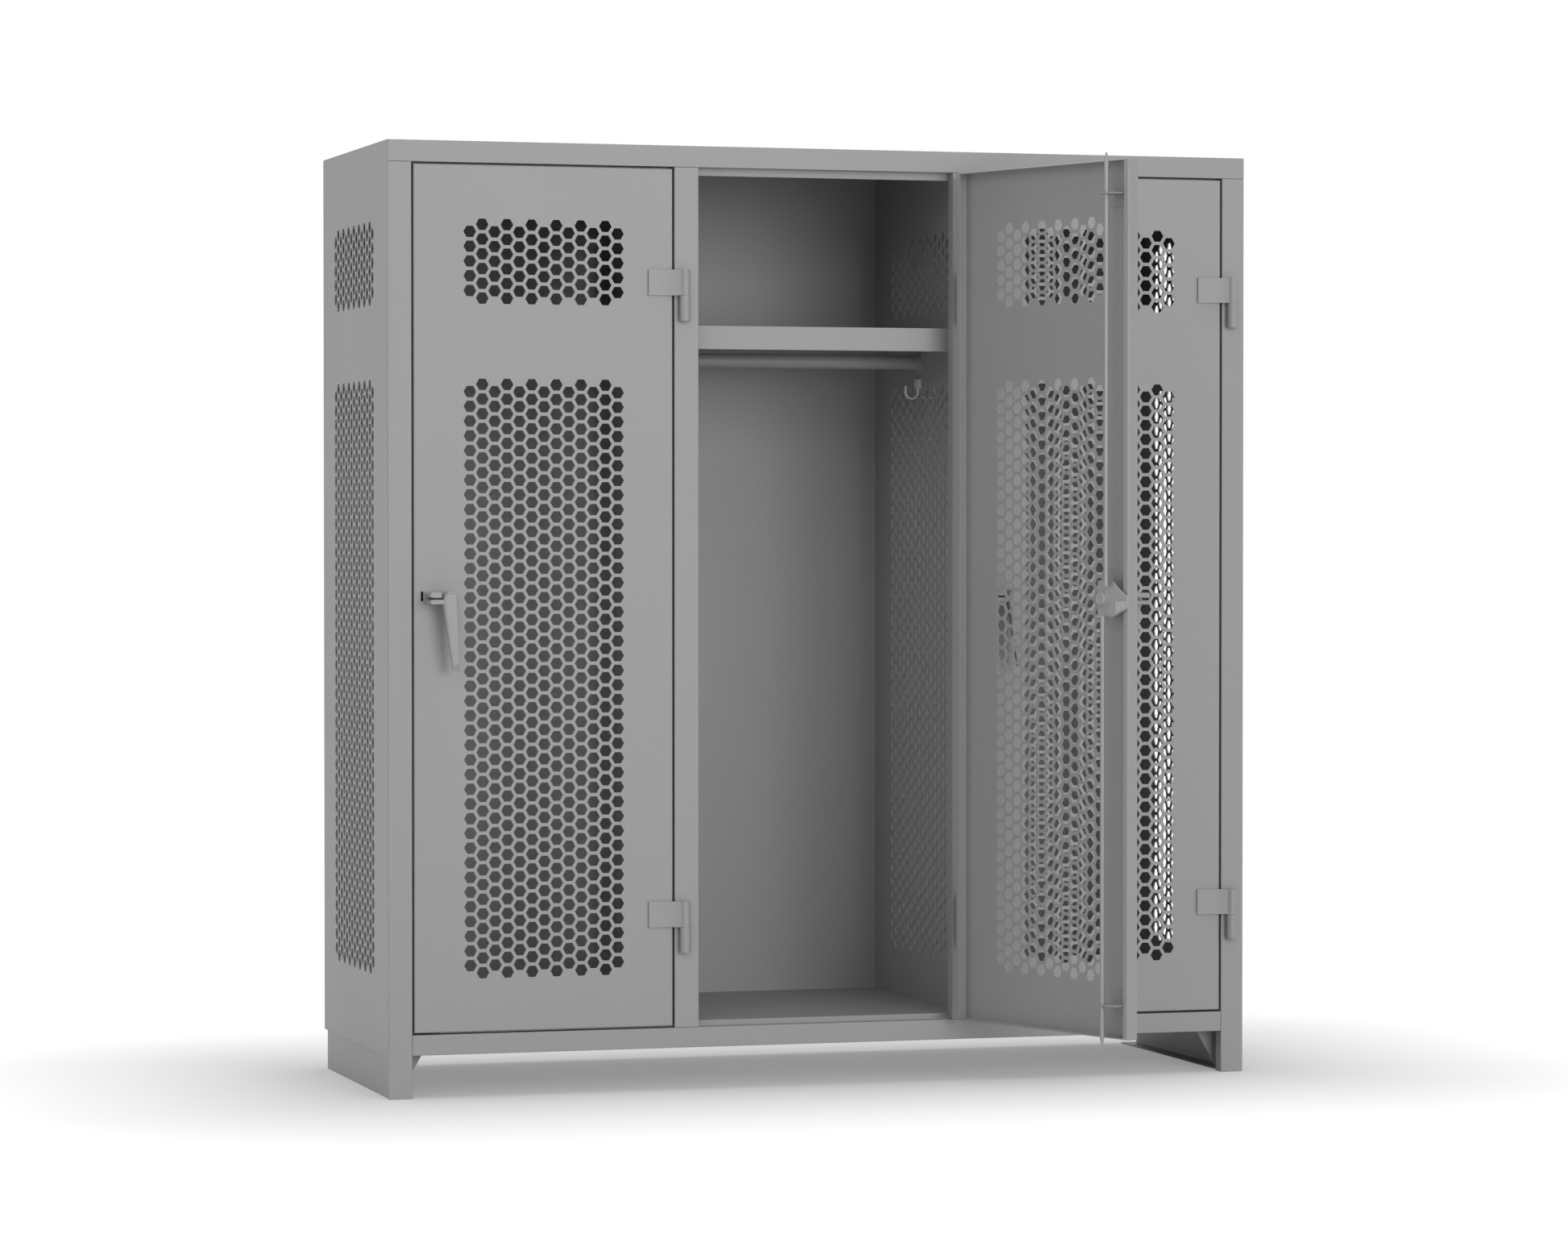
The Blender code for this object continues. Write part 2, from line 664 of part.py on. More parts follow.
def wire(points, diameter):
    """A bent round wire through points, as a closed mesh."""
    curve = bpy.data.curves.new("wire", "CURVE")
    curve.dimensions = "3D"
    curve.bevel_depth = diameter / 2
    curve.bevel_resolution = 2
    curve.use_fill_caps = True
    spline = curve.splines.new("POLY")
    spline.points.add(len(points) - 1)
    for spot, point in zip(spline.points, points):
        spot.co = (*point, 1)
    holder = bpy.data.objects.new("wire", curve)
    bpy.context.scene.collection.objects.link(holder)
    graph = bpy.context.evaluated_depsgraph_get()
    mesh = bpy.data.meshes.new_from_object(holder.evaluated_get(graph))
    bpy.data.objects.remove(holder)
    shape = bmesh.new()
    shape.from_mesh(mesh)
    bmesh.ops.remove_doubles(shape, verts=shape.verts, dist=MERGE_DISTANCE)
    return to_mesh(shape)


def hook(wall, inward):
    """One wall hook: a screwed plate and a wire bent out and up from it."""
    plate_x = sorted((wall, wall + inward * HOOK_PLATE_THICKNESS))
    plate_y = (HOOK_BACK - HOOK_PLATE_WIDTH / 2, HOOK_BACK + HOOK_PLATE_WIDTH / 2)
    plate = block(plate_x, plate_y, (HOOK_PLATE_LOW, HOOK_PLATE_LOW + HOOK_PLATE_HEIGHT))
    near = HOOK_PLATE_THICKNESS / 2
    far = HOOK_REACH - HOOK_WIRE / 2
    bend = (far - near) / 2
    low = HOOK_LOW + HOOK_WIRE / 2 + bend
    route = [(near, HOOK_PLATE_LOW + HOOK_PLATE_HEIGHT / 2)]
    for step in range(HOOK_ARC_STEPS + 1):
        turn = math.pi * step / HOOK_ARC_STEPS
        route.append((near + bend * (1 - math.cos(turn)), low - bend * math.sin(turn)))
    route.append((far, HOOK_TIP))
    points = [(wall + inward * out, HOOK_BACK, height) for out, height in route]
    return fused(plate, wire(points, HOOK_WIRE))


def build_hooks(case, bay):
    """A coat hook on each wall of a bay."""
    left, right = bay_walls(bay)
    name = BAY_NAMES[bay]
    piece(f"coat_hook_{name}_bay_left", hook(left + SEAT, 1), case, FITTING_PAINT)
    piece(f"coat_hook_{name}_bay_right", hook(right - SEAT, -1), case, FITTING_PAINT)


def build_frame_hinges(case, bay):
    """The fixed halves of a door's hinges: a barrel on the frame with its pin standing up."""
    for level, parting in HINGE_PARTINGS:
        barrel_top = parting - SEAT / 2
        profile = [
            (FRAME_BARREL_DIAMETER / 2, barrel_top - BARREL_LENGTH),
            (FRAME_BARREL_DIAMETER / 2, barrel_top),
            (PIN_DIAMETER / 2, barrel_top),
            (PIN_DIAMETER / 2, barrel_top + PIN_LENGTH),
        ]
        barrel = moved(turned(profile), (hinge_x(bay), -HINGE_STAND_OFF, 0))
        piece(f"frame_barrel_{level}_{BAY_NAMES[bay]}", barrel, case, CASE_PAINT)


def from_edge(distance):
    """x on a closed door, counted from its free edge, in its hinge's frame."""
    return distance - HINGE_REACH


def rod_guides():
    """Angle brackets welded inside a door, which guide the latch rods."""
    inner = HINGE_STAND_OFF + DOOR_SHEET / 2
    leg_face = HINGE_STAND_OFF + DOOR_SHEET + GUIDE_THICKNESS
    reach = HINGE_STAND_OFF + GUIDE_DEPTH
    near, far = from_edge(GUIDE_NEAR), from_edge(GUIDE_NEAR + GUIDE_WIDTH)
    guides = []
    ends = (
        (DOOR_HIGH - GUIDE_FROM_DOOR_END, -1, UPPER_ROD_FROM_EDGE),
        (DOOR_LOW + GUIDE_FROM_DOOR_END, 1, LOWER_ROD_FROM_EDGE),
    )
    for height, inward, rod in ends:
        outline = [
            (inner, height),
            (reach, height),
            (reach, height + inward * GUIDE_THICKNESS),
            (leg_face, height + inward * GUIDE_THICKNESS),
            (leg_face, height + inward * GUIDE_LEG),
            (inner, height + inward * GUIDE_LEG),
        ]
        angle = prism(outline, "X", near, far)
        centre = (from_edge(rod), HINGE_STAND_OFF + LATCH_ROD_DEPTH)
        through = (height - inward * CUT_OVERRUN, height + inward * (GUIDE_THICKNESS + CUT_OVERRUN))
        guides.append(cut(angle, cylinder(centre, GUIDE_HOLE_DIAMETER, "Z", *sorted(through))))
    return guides


def build_door_pan(pivot, name):
    """Door sheet with flanges on four sides, returns on its long sides and welded rod guides."""
    face = HINGE_STAND_OFF
    left, right = from_edge(0), from_edge(DOOR_WIDTH)
    back = face + DOOR_FLANGE
    inner = back - DOOR_SHEET
    section = [
        (left, face),
        (right, face),
        (right, back),
        (right - DOOR_RETURN, back),
        (right - DOOR_RETURN, inner),
        (right - DOOR_SHEET, inner),
        (right - DOOR_SHEET, face + DOOR_SHEET),
        (left + DOOR_SHEET, face + DOOR_SHEET),
        (left + DOOR_SHEET, inner),
        (left + DOOR_RETURN, inner),
        (left + DOOR_RETURN, back),
        (left, back),
    ]
    pan = prism(section, "Z", DOOR_LOW, DOOR_HIGH)
    for low, high in ((DOOR_LOW, DOOR_LOW + DOOR_SHEET), (DOOR_HIGH - DOOR_SHEET, DOOR_HIGH)):
        pan = fused(pan, block((left, right), (face, back), (low, high)))
    reach = (face - CUT_OVERRUN, face + DOOR_SHEET + CUT_OVERRUN)
    holes = perforation(from_edge(DOOR_WIDTH / 2), DOOR_WIDTH / 2, "Y", *reach)
    spindle = (from_edge(SPINDLE_FROM_EDGE), LATCH_HEIGHT)
    holes.append(cylinder(spindle, SPINDLE_DIAMETER + 2 * SPINDLE_PLAY, "Y", *reach))
    across = (from_edge(HASP_SLOT_FROM_EDGE), from_edge(HASP_SLOT_FROM_EDGE + HASP_SLOT_WIDTH))
    holes.append(
        block(across, reach, (LATCH_HEIGHT - HASP_SLOT_BELOW, LATCH_HEIGHT + HASP_SLOT_ABOVE))
    )
    pan = fused(cut(pan, *holes), *rod_guides())
    piece(f"door_pan_{name}", pan, pivot, DOOR_PAINT)


def build_hinge_leaves(pivot, name):
    """The door's halves of its hinges: a leaf on the face, ramped out to a bored barrel."""
    radius = DOOR_BARREL_DIAMETER / 2
    seat_y = HINGE_STAND_OFF - SEAT
    flat_end = -LEAF_LENGTH + LEAF_FLAT
    meet_in = LEAF_INNER_MEET_SHARE * radius
    outline = [
        (-LEAF_LENGTH, seat_y),
        (-LEAF_LENGTH, seat_y - LEAF_THICKNESS),
        (flat_end, seat_y - LEAF_THICKNESS),
        (radius * math.cos(LEAF_OUTER_MEET), radius * math.sin(LEAF_OUTER_MEET)),
        (meet_in * math.cos(LEAF_INNER_MEET), meet_in * math.sin(LEAF_INNER_MEET)),
        (flat_end + LEAF_THICKNESS, seat_y),
    ]
    for level, parting in HINGE_PARTINGS:
        low = parting + SEAT / 2
        high = low + LEAF_HEIGHT
        leaf = prism(outline, "Z", low, high)
        barrel = cylinder((0, 0), DOOR_BARREL_DIAMETER, "Z", low, high)
        bore_top = low - SEAT + PIN_LENGTH + PIN_END_ROOM
        bore = cylinder((0, 0), PIN_DIAMETER + 2 * SEAT, "Z", low - CUT_OVERRUN, bore_top)
        leaf = cut(fused(leaf, barrel), bore)
        piece(f"hinge_leaf_{level}_{name}", leaf, pivot, DOOR_PAINT)


def rounded_bar(start, end, low, high):
    """Outline of a bar whose start is half round, as (x, z) points."""
    radius = (high - low) / 2
    middle = (low + high) / 2
    points = [(end, low), (end, high)]
    for step in range(HOOK_ARC_STEPS + 1):
        turn = math.pi / 2 + math.pi * step / HOOK_ARC_STEPS
        points.append((start + radius + radius * math.cos(turn), middle + radius * math.sin(turn)))
    return points


def build_escutcheon(pivot, name):
    """Plate under the handle's head, with the fixed upper half of the padlock lug."""
    spindle = from_edge(SPINDLE_FROM_EDGE)
    back = HINGE_STAND_OFF - SEAT
    front = back - ESCUTCHEON_THICKNESS
    plate = block(
        (spindle - LUG_REACH, spindle + ESCUTCHEON_BEYOND),
        (front, back),
        (LATCH_HEIGHT - ESCUTCHEON_HALF_HEIGHT, LATCH_HEIGHT + ESCUTCHEON_HALF_HEIGHT),
    )
    low = LATCH_HEIGHT + LUG_PART_ABOVE
    outline = rounded_bar(
        spindle - LUG_REACH, spindle - LUG_NEAR_END, low, low + UPPER_LUG_HEIGHT
    )
    lug = prism(outline, "Y", HINGE_STAND_OFF - LUG_OUT, back)
    reach = (front - CUT_OVERRUN, back + CUT_OVERRUN)
    hole_size = SPINDLE_DIAMETER + 2 * SPINDLE_PLAY
    hole = cylinder((spindle, LATCH_HEIGHT), hole_size, "Y", *reach)
    piece(f"escutcheon_{name}", cut(fused(plate, lug), hole), pivot, FITTING_PAINT)


def build_handle(latch, name):
    """Turn handle: a round head, a tapered lever and the moving lower half of the padlock lug."""
    start = -(SEAT + ESCUTCHEON_THICKNESS + SEAT)
    head = cylinder((0, 0), HEAD_DIAMETER, "Y", -HEAD_OUT, start)
    low = LUG_PART_ABOVE - LUG_SLOT - LOWER_LUG_HEIGHT
    outline = rounded_bar(-LUG_REACH, 0, low, low + LOWER_LUG_HEIGHT)
    lug = prism(outline, "Y", -LUG_OUT, start)
    corners = []
    for height, left, right, inner, outer in LEVER_STATIONS:
        corners += [(x, -out, height) for x in (left, right) for out in (inner, outer)]
    handle = fused(head, hull(corners), lug)
    piece(f"handle_{name}", handle, latch, FITTING_PAINT)


def build_cam(latch, name):
    """Kite-shaped latch cam behind the door, with its spindle through the sheet, its nut and boss."""
    upper = [
        (-CAM_TIP_REACH, CAM_TIP_HALF),
        (-CAM_SHOULDER_REACH, CAM_SHOULDER_HALF),
        (-CAM_LOBE_NEAR, CAM_LOBE_HALF),
        (CAM_LOBE_FAR, CAM_LOBE_HALF),
    ]
    outline = upper + [(x, -z) for x, z in reversed(upper)]
    plate = prism(outline, "Y", CAM_DEPTH, CAM_DEPTH + CAM_THICKNESS)
    spindle_start = -(SEAT + ESCUTCHEON_THICKNESS)
    spindle = cylinder((0, 0), SPINDLE_DIAMETER, "Y", spindle_start, CAM_DEPTH + SEAT)
    inside = CAM_DEPTH + CAM_THICKNESS / 2
    nut = cylinder((0, 0), NUT_DIAMETER, "Y", inside, NUT_END, sides=HEXAGON_SIDES)
    boss = cylinder((0, 0), BOSS_DIAMETER, "Y", inside, BOSS_END)
    cam = fused(plate, spindle, nut, boss)
    piece(f"latch_cam_{name}", cam, latch, PLAIN_STEEL)


def build_latch_rods(pivot, name):
    """Upper and lower latch rods, each with its origin on its own slide axis."""
    radius = LATCH_ROD_DIAMETER / 2
    tip = LATCH_ROD_TIP_DIAMETER / 2
    reaches = {
        "upper": (
            UPPER_ROD_FROM_EDGE,
            UPPER_ROD_START,
            DOOR_HIGH + LATCH_ROD_BEYOND_DOOR - LATCH_HEIGHT,
        ),
        "lower": (
            LOWER_ROD_FROM_EDGE,
            LOWER_ROD_START,
            LATCH_HEIGHT - DOOR_LOW + LATCH_ROD_BEYOND_DOOR,
        ),
    }
    for side, (edge, start, reach) in reaches.items():
        profile = [
            (radius, start),
            (radius, reach - LATCH_ROD_CONE),
            (tip, reach),
        ]
        rod = turned(profile)
        if side == "lower":
            rod.transform(Matrix.Rotation(math.pi, 4, "X"))
        thing = piece(f"latch_rod_{side}_{name}", rod, pivot, PLAIN_STEEL)
        thing.location = (from_edge(edge), HINGE_STAND_OFF + LATCH_ROD_DEPTH, LATCH_HEIGHT)


def build_door(case, bay):
    """One door with its leaves, guides, escutcheon, handle, cam and latch rods."""
    name = BAY_NAMES[bay]
    axis = (hinge_x(bay), -HINGE_STAND_OFF, 0)
    pivot = empty(f"hinge_axis_{name}", axis, case, DOOR_ANGLES[bay])
    build_door_pan(pivot, name)
    build_hinge_leaves(pivot, name)
    build_escutcheon(pivot, name)
    spindle = (from_edge(SPINDLE_FROM_EDGE), HINGE_STAND_OFF, LATCH_HEIGHT)
    latch = empty(f"spindle_axis_{name}", spindle, pivot)
    build_handle(latch, name)
    build_cam(latch, name)
    build_latch_rods(pivot, name)


def main():
    """Build the case, then each bay's fittings and its door."""
    clear_scene()
    case = empty("case_origin", (-CASE_WIDTH / 2, FRONT_Y, 0))
    build_walls(case)
    build_top(case)
    build_header(case)
    build_rail(case)
    build_floor(case)
    build_stiles(case)
    build_skids(case)
    for bay in range(DOOR_COUNT):
        build_shelf(case, bay)
        build_coat_rod(case, bay)
        build_hooks(case, bay)
        build_frame_hinges(case, bay)
        build_door(case, bay)


main()
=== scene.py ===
"""Looks of the ventilated steel locker: fine perforated sheets, softened edges, painted finishes.

Every length is in metres, in the frame's own axes: +X right, +Y to the back, +Z up. The doors
face -Y.
"""

from __future__ import annotations

import json
import logging
import math
from dataclasses import dataclass
from enum import Enum
from typing import TypeVar

import bmesh
import bpy
from bmesh.types import BMesh, BMVert
from bpy.types import Material, Mesh, NodeSocket, NodeTree, Object, World
from mathutils import Matrix, Vector

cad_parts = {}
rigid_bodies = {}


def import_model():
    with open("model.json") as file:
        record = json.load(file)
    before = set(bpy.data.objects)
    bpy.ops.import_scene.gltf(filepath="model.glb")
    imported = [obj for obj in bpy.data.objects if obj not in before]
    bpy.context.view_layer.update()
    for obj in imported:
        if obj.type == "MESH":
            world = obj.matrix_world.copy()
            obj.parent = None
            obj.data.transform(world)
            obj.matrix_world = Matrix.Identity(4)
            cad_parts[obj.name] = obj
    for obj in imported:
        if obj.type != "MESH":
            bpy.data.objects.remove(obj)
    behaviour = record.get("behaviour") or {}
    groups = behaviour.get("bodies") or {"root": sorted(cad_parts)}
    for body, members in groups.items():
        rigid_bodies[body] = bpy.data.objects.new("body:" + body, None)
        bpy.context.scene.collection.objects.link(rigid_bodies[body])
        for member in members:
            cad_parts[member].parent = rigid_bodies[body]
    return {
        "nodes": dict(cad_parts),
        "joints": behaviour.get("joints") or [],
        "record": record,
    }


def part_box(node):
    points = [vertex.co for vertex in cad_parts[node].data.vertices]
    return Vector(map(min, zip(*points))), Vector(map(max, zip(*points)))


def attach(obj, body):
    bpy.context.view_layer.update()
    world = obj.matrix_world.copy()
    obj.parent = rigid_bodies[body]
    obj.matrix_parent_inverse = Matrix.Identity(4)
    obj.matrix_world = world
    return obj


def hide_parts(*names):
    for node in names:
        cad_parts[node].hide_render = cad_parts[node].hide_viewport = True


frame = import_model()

LOG = logging.getLogger("locker")
BAYS = ("left", "middle", "right")
MERGE = 0.00002
SHARP = math.radians(32)
FLAT = math.radians(0.5)
QUARTER = math.pi / 2
CORNER_SHARE = 0.45
AREA_WEIGHT = 100
WHITE = (1, 1, 1, 1)

Spot = tuple[float, float]
Triple = tuple[float, float, float]
Thing = TypeVar("Thing")


class Surface(Enum):
    """Material slots of the record that a piece can take its finish from."""

    CASE = "case_paint"
    DOOR = "door_paint"
    FITTING = "fitting_paint"
    STEEL = "plain_steel"


def put(thing: Thing, **settings: object) -> Thing:
    """Set properties of a thing and return it."""
    for key, value in settings.items():
        setattr(thing, key, value)
    return thing


class Term:
    """A node socket that turns Python arithmetic into Math nodes."""

    def __init__(self, graph: Graph, socket: NodeSocket) -> None:
        """Keep the graph and the output socket that this term stands for."""
        self.graph = graph
        self.socket = socket

    def _math(self, operation: str, first: object, second: object) -> Term:
        """Add one Math node on two numbers or terms."""
        return self.graph.node("ShaderNodeMath", {0: first, 1: second}, operation=operation)

    def __add__(self, other: object) -> Term:
        """Sum."""
        return self._math("ADD", self, other)

    def __radd__(self, other: object) -> Term:
        """Sum, with the number first."""
        return self._math("ADD", other, self)

    def __sub__(self, other: object) -> Term:
        """Difference."""
        return self._math("SUBTRACT", self, other)

    def __mul__(self, other: object) -> Term:
        """Product."""
        return self._math("MULTIPLY", self, other)

    def __truediv__(self, other: object) -> Term:
        """Quotient."""
        return self._math("DIVIDE", self, other)


class Graph:
    """A node tree, built one call at a time."""

    def __init__(self, tree: NodeTree) -> None:
        """Keep the tree."""
        self.tree = tree

    def node(self, kind: str, inputs: dict, output: int | str = 0, **settings: object) -> Term:
        """Add a node, set it up, then feed its sockets.

        Args:
            kind: The node's type.
            inputs: Values, terms or lists of terms, by socket index or name.
            output: Index or name of the output to return.
            settings: Properties of the node, set first.

        Returns:
            The chosen output.
        """
        made = put(self.tree.nodes.new(kind), **settings)
        for key, value in inputs.items():
            for item in value if isinstance(value, list) else [value]:
                self.feed(made.inputs[key], item)
        return Term(self, made.outputs[output])

    def feed(self, socket: NodeSocket, value: object) -> None:
        """Link a term to a socket, or give the socket a plain value."""
        if isinstance(value, Term):
            self.tree.links.new(value.socket, socket)
        else:
            socket.default_value = value


class ShaderGraph(Graph):
    """The node tree of a material or a world."""

    def __init__(self, owner: Material | World, shader: str = "Principled BSDF") -> None:
        """Keep a new material or world, with the name of the shader that its tree starts with."""
        owner.use_nodes = True
        super().__init__(owner.node_tree)
        self.owner = owner
        self.shader = self.tree.nodes[shader]

    def seen(self) -> Term:
        """One for a ray from the camera, off gloss or through glass, otherwise zero."""
        seen = self.node("ShaderNodeLightPath", {}, "Is Camera Ray")
        outputs = seen.socket.node.outputs
        for kind in ("Glossy", "Transmission"):
            inputs = {0: seen, 1: Term(self, outputs[f"Is {kind} Ray"])}
            seen = self.node("ShaderNodeMath", inputs, operation="MAXIMUM")
        return seen

    def noise(self, place: Term, scale: float, detail: float) -> Term:
        """Noise on a coordinate, by its features per metre and its octaves."""
        inputs = {"Vector": place, "Scale": scale, "Detail": detail}
        return self.node("ShaderNodeTexNoise", inputs, "Fac")

    def object_place(self) -> Term:
        """Object coordinates, in metres."""
        return self.node("ShaderNodeTexCoord", {}, "Object")

    def give(self, inputs: dict) -> None:
        """Feed sockets of the first shader, by name."""
        for name, value in inputs.items():
            self.feed(self.shader.inputs[name], value)

    def blend(self, factor: Term, other: Term, output: str) -> None:
        """End the tree in a mix of its first shader with another, by a factor."""
        first = Term(self, self.shader.outputs[0])
        mixed = self.node("ShaderNodeMixShader", {0: factor, 1: first, 2: other})
        self.feed(self.tree.nodes[output].inputs["Surface"], mixed)


@dataclass(frozen=True)
class Coat:
    """What the coats share: a mottled grey, a roughness that varies and a fine relief."""

    name: str
    grey: float
    roughness: float = 0.46
    roughness_spread: float = 0.10
    mottle: float = 0.03
    mottle_scale: float = 5.0
    relief: float = 0.00004
    relief_strength: float = 0.5
    broad_detail: float = 3.0
    fine_detail: float = 2.0

    def _mottled(self, broad: Term) -> Term:
        """The grey, a little lighter and darker by a broad noise."""
        return self.grey * (1 - self.mottle) + broad * (self.grey * self.mottle * 2)

    def _finished(self, graph: ShaderGraph, shade: Term, wear: Term, height: Term) -> Material:
        """Link the colour, the roughness and the relief.

        Args:
            graph: The coat's graph.
            shade: The grey.
            wear: The noise that the roughness follows.
            height: The relief's height.

        Returns:
            The finished material.
        """
        smoothest = self.roughness - self.roughness_spread / 2
        bump = {"Height": height, "Distance": self.relief, "Strength": self.relief_strength}
        inputs = {
            "Base Color": graph.node("ShaderNodeCombineColor", {0: shade, 1: shade, 2: shade}),
            "Roughness": smoothest + wear * self.roughness_spread,
            "Normal": graph.node("ShaderNodeBump", bump, "Normal"),
        }
        graph.give(inputs)
        return graph.owner


@dataclass(frozen=True)
class PowderCoat(Coat):
    """Satin powder coat: an even grey with fine orange peel and faint mottling."""

    peel_scale: float = 620.0
    speck_scale: float = 155.0
    speck_detail: float = 1.0
    speck_share: float = 0.5
    gloss: float = 0.45

    def material(self) -> Material:
        """Build the node tree of this coat."""
        graph = ShaderGraph(bpy.data.materials.new(self.name))
        place = graph.object_place()
        broad = graph.noise(place, self.mottle_scale, self.broad_detail)
        fine = graph.noise(place, self.peel_scale, self.fine_detail)
        speck = graph.noise(place, self.speck_scale, self.speck_detail)
        shade = self._mottled(broad) + (speck - 0.5) * (self.grey * self.mottle)
        graph.give({"Specular IOR Level": self.gloss})
        return self._finished(graph, shade, broad, fine + speck * self.speck_share)


@dataclass(frozen=True)
class CoatedSteel(Coat):
    """Smooth steel under a thin coat, a little glossier, with drawing lines along Z."""

    roughness: float = 0.34
    roughness_spread: float = 0.12
    mottle: float = 0.04
    mottle_scale: float = 14.0
    relief: float = 0.00002
    relief_strength: float = 0.4
    metallic: float = 0.15
    line_scale: float = 900.0
    line_stretch: Triple = (1, 1, 0.02)

    def material(self) -> Material:
        """Build the node tree of this steel."""
        graph = ShaderGraph(bpy.data.materials.new(self.name))
        place = graph.object_place()
        inputs = {"Vector": place, "Scale": self.line_stretch}
        drawn = graph.node("ShaderNodeMapping", inputs, vector_type="POINT")
        lines = graph.noise(drawn, self.line_scale, self.fine_detail)
        broad = graph.noise(place, self.mottle_scale, self.broad_detail)
        graph.give({"Metallic": self.metallic})
        return self._finished(graph, self._mottled(broad), lines, lines)


@dataclass(frozen=True)
class PaleStage:
    """Floor: plain and pale with its shadow near the locker, white further out."""

    name: str
    grey: float = 0.8
    roughness: float = 0.9
    centre: Triple = (0.0, 0.28, 0.0)
    half: Triple = (0.914, 0.312, 1.0)
    white_from: float = -0.25
    white_at: float = 0.75

    def material(self) -> Material:
        """Build the node tree of the stage."""
        graph = ShaderGraph(bpy.data.materials.new(self.name))
        grey = (self.grey, self.grey, self.grey, 1)
        graph.give({"Base Color": grey, "Roughness": self.roughness, "Specular IOR Level": 0.0})
        away = graph.object_place()
        for operation, value in (
            ("SUBTRACT", self.centre),
            ("ABSOLUTE", None),
            ("SUBTRACT", self.half),
            ("MAXIMUM", (0, 0, 0)),
        ):
            inputs = {0: away} if value is None else {0: away, 1: value}
            away = graph.node("ShaderNodeVectorMath", inputs, operation=operation)
        reach = graph.node("ShaderNodeVectorMath", {0: away}, "Value", operation="LENGTH")
        limits = {"Value": reach, "From Min": self.white_from, "From Max": self.white_at}
        far = graph.node("ShaderNodeMapRange", limits)
        glow = graph.node("ShaderNodeEmission", {"Strength": 1.0})
        graph.blend(far * graph.seen(), glow, "Material Output")
        return graph.owner


class Finishes:
    """The locker's materials: one for each surface, and two for small steel pieces; the cams' steel
    is lighter, with painted light.
    """

    def __init__(self) -> None:
        """Build each material once."""
        self.by_surface = {
            Surface.CASE: PowderCoat("grey_case_coat", 0.322).material(),
            Surface.DOOR: PowderCoat("grey_door_coat", 0.325).material(),
            Surface.FITTING: PowderCoat("grey_fitting_coat", 0.32, roughness=0.42).material(),
            Surface.STEEL: CoatedSteel("grey_latch_steel", 0.32, roughness=0.40).material(),
        }
        wire = CoatedSteel("plated_hook_wire", 0.72, roughness=0.38, metallic=0.2)
        self.plated = wire.material()
        # The cams take a lighter copy of the latch steel: its extra lightness is painted light on
        # the cams.
        self.cast = CoatedSteel("grey_latch_cam_painted_light", 0.38).material()


class Workshop:
    """Turns meshes into finished pieces that ride on the frame's bodies."""

    def __init__(self, finishes: Finishes) -> None:
        """Keep the finishes and start counting."""
        self.finishes = finishes
        self.made = 0

    def add(
        self, name: str, mesh: Mesh, body: str, surface: Surface,
        stands_for: tuple[str, ...] = (), material: Material | None = None,
    ) -> None:
        """Make one piece of the locker.

        Args:
            name: The piece's name.
            mesh: Its mesh, in the frame's coordinates.
            body: The body that carries it.
            surface: Its finish.
            stands_for: The CAD nodes that it replaces.
            material: Its own material, where the surface's isn't right.
        """
        mesh.materials.clear()
        mesh.materials.append(material or self.finishes.by_surface[surface])
        mesh.shade_smooth()
        mesh.set_sharp_from_angle(angle=SHARP)
        # Normals follow the larger faces, so that flat faces shade flat.
        mesh = modified(mesh, "WEIGHTED_NORMAL", weight=AREA_WEIGHT, keep_sharp=True)
        mesh.name = name
        thing = linked(name, mesh)
        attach(thing, body)
        if stands_for:
            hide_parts(*stands_for)
        self.made += 1
        LOG.info("%s on %s, %d faces", name, body, len(mesh.polygons))


def linked(name: str, data: bpy.types.ID) -> Object:
    """Make an object of some data and link it to the scene."""
    thing = bpy.data.objects.new(name, data)
    bpy.context.scene.collection.objects.link(thing)
    return thing


def modified(mesh: Mesh, kind: str, inputs: dict | None = None, **settings: object) -> Mesh:
    """Apply one modifier to a mesh.

    Args:
        mesh: The mesh to start from.
        kind: The modifier's type.
        inputs: Inputs of the modifier's node tree, by identifier.
        settings: The modifier's properties.

    Returns:
        A new plain mesh.
    """
    thing = linked("modified", mesh)
    modifier = put(thing.modifiers.new("step", kind), **settings)
    for key, value in (inputs or {}).items():
        modifier[key] = value
    thing.update_tag()
    graph = bpy.context.evaluated_depsgraph_get()
    plain = bpy.data.meshes.new_from_object(thing.evaluated_get(graph))
    thing.modifiers.clear()
    bpy.data.objects.remove(thing)
    return plain


def softened(mesh: Mesh, width: float, segments: int = 2) -> Mesh:
    """Round every sharp edge of a closed mesh, over some width and in some steps."""
    corners = {"limit_method": "ANGLE", "angle_limit": SHARP, "miter_outer": "MITER_ARC"}
    return modified(mesh, "BEVEL", width=width, segments=segments, **corners)


def mesh_of(shape: BMesh, name: str = "shape") -> Mesh:
    """Write a bmesh to a new mesh and free it."""
    mesh = bpy.data.meshes.new(name)
    shape.to_mesh(mesh)
    shape.free()
    return mesh


def arc(centre: Spot, radius: float, start: float, sweep: float, steps: int) -> list[Spot]:
    """Points along an arc in a plane.

    Args:
        centre: The arc's centre.
        radius: Its radius.
        start: The angle of its first point.
        sweep: How far it turns.
        steps: Steps along it.

    Returns:
        The points, one more than the steps.
    """
    x, y = centre
    turns = [start + sweep * step / steps for step in range(steps + 1)]
    return [(x + radius * math.cos(turn), y + radius * math.sin(turn)) for turn in turns]


def ring(centre: Spot, radius: float, count: int, shift: float = 0.0) -> list[Spot]:
    """Points round a circle, from some share of a step past its start."""
    return arc(centre, radius, math.tau * shift / count, math.tau, count)[:-1]


def rectangle(left: float, right: float, low: float, high: float) -> list[Spot]:
    """Corners of a rectangle, round from the low left one."""
    return [(left, low), (right, low), (right, high), (left, high)]


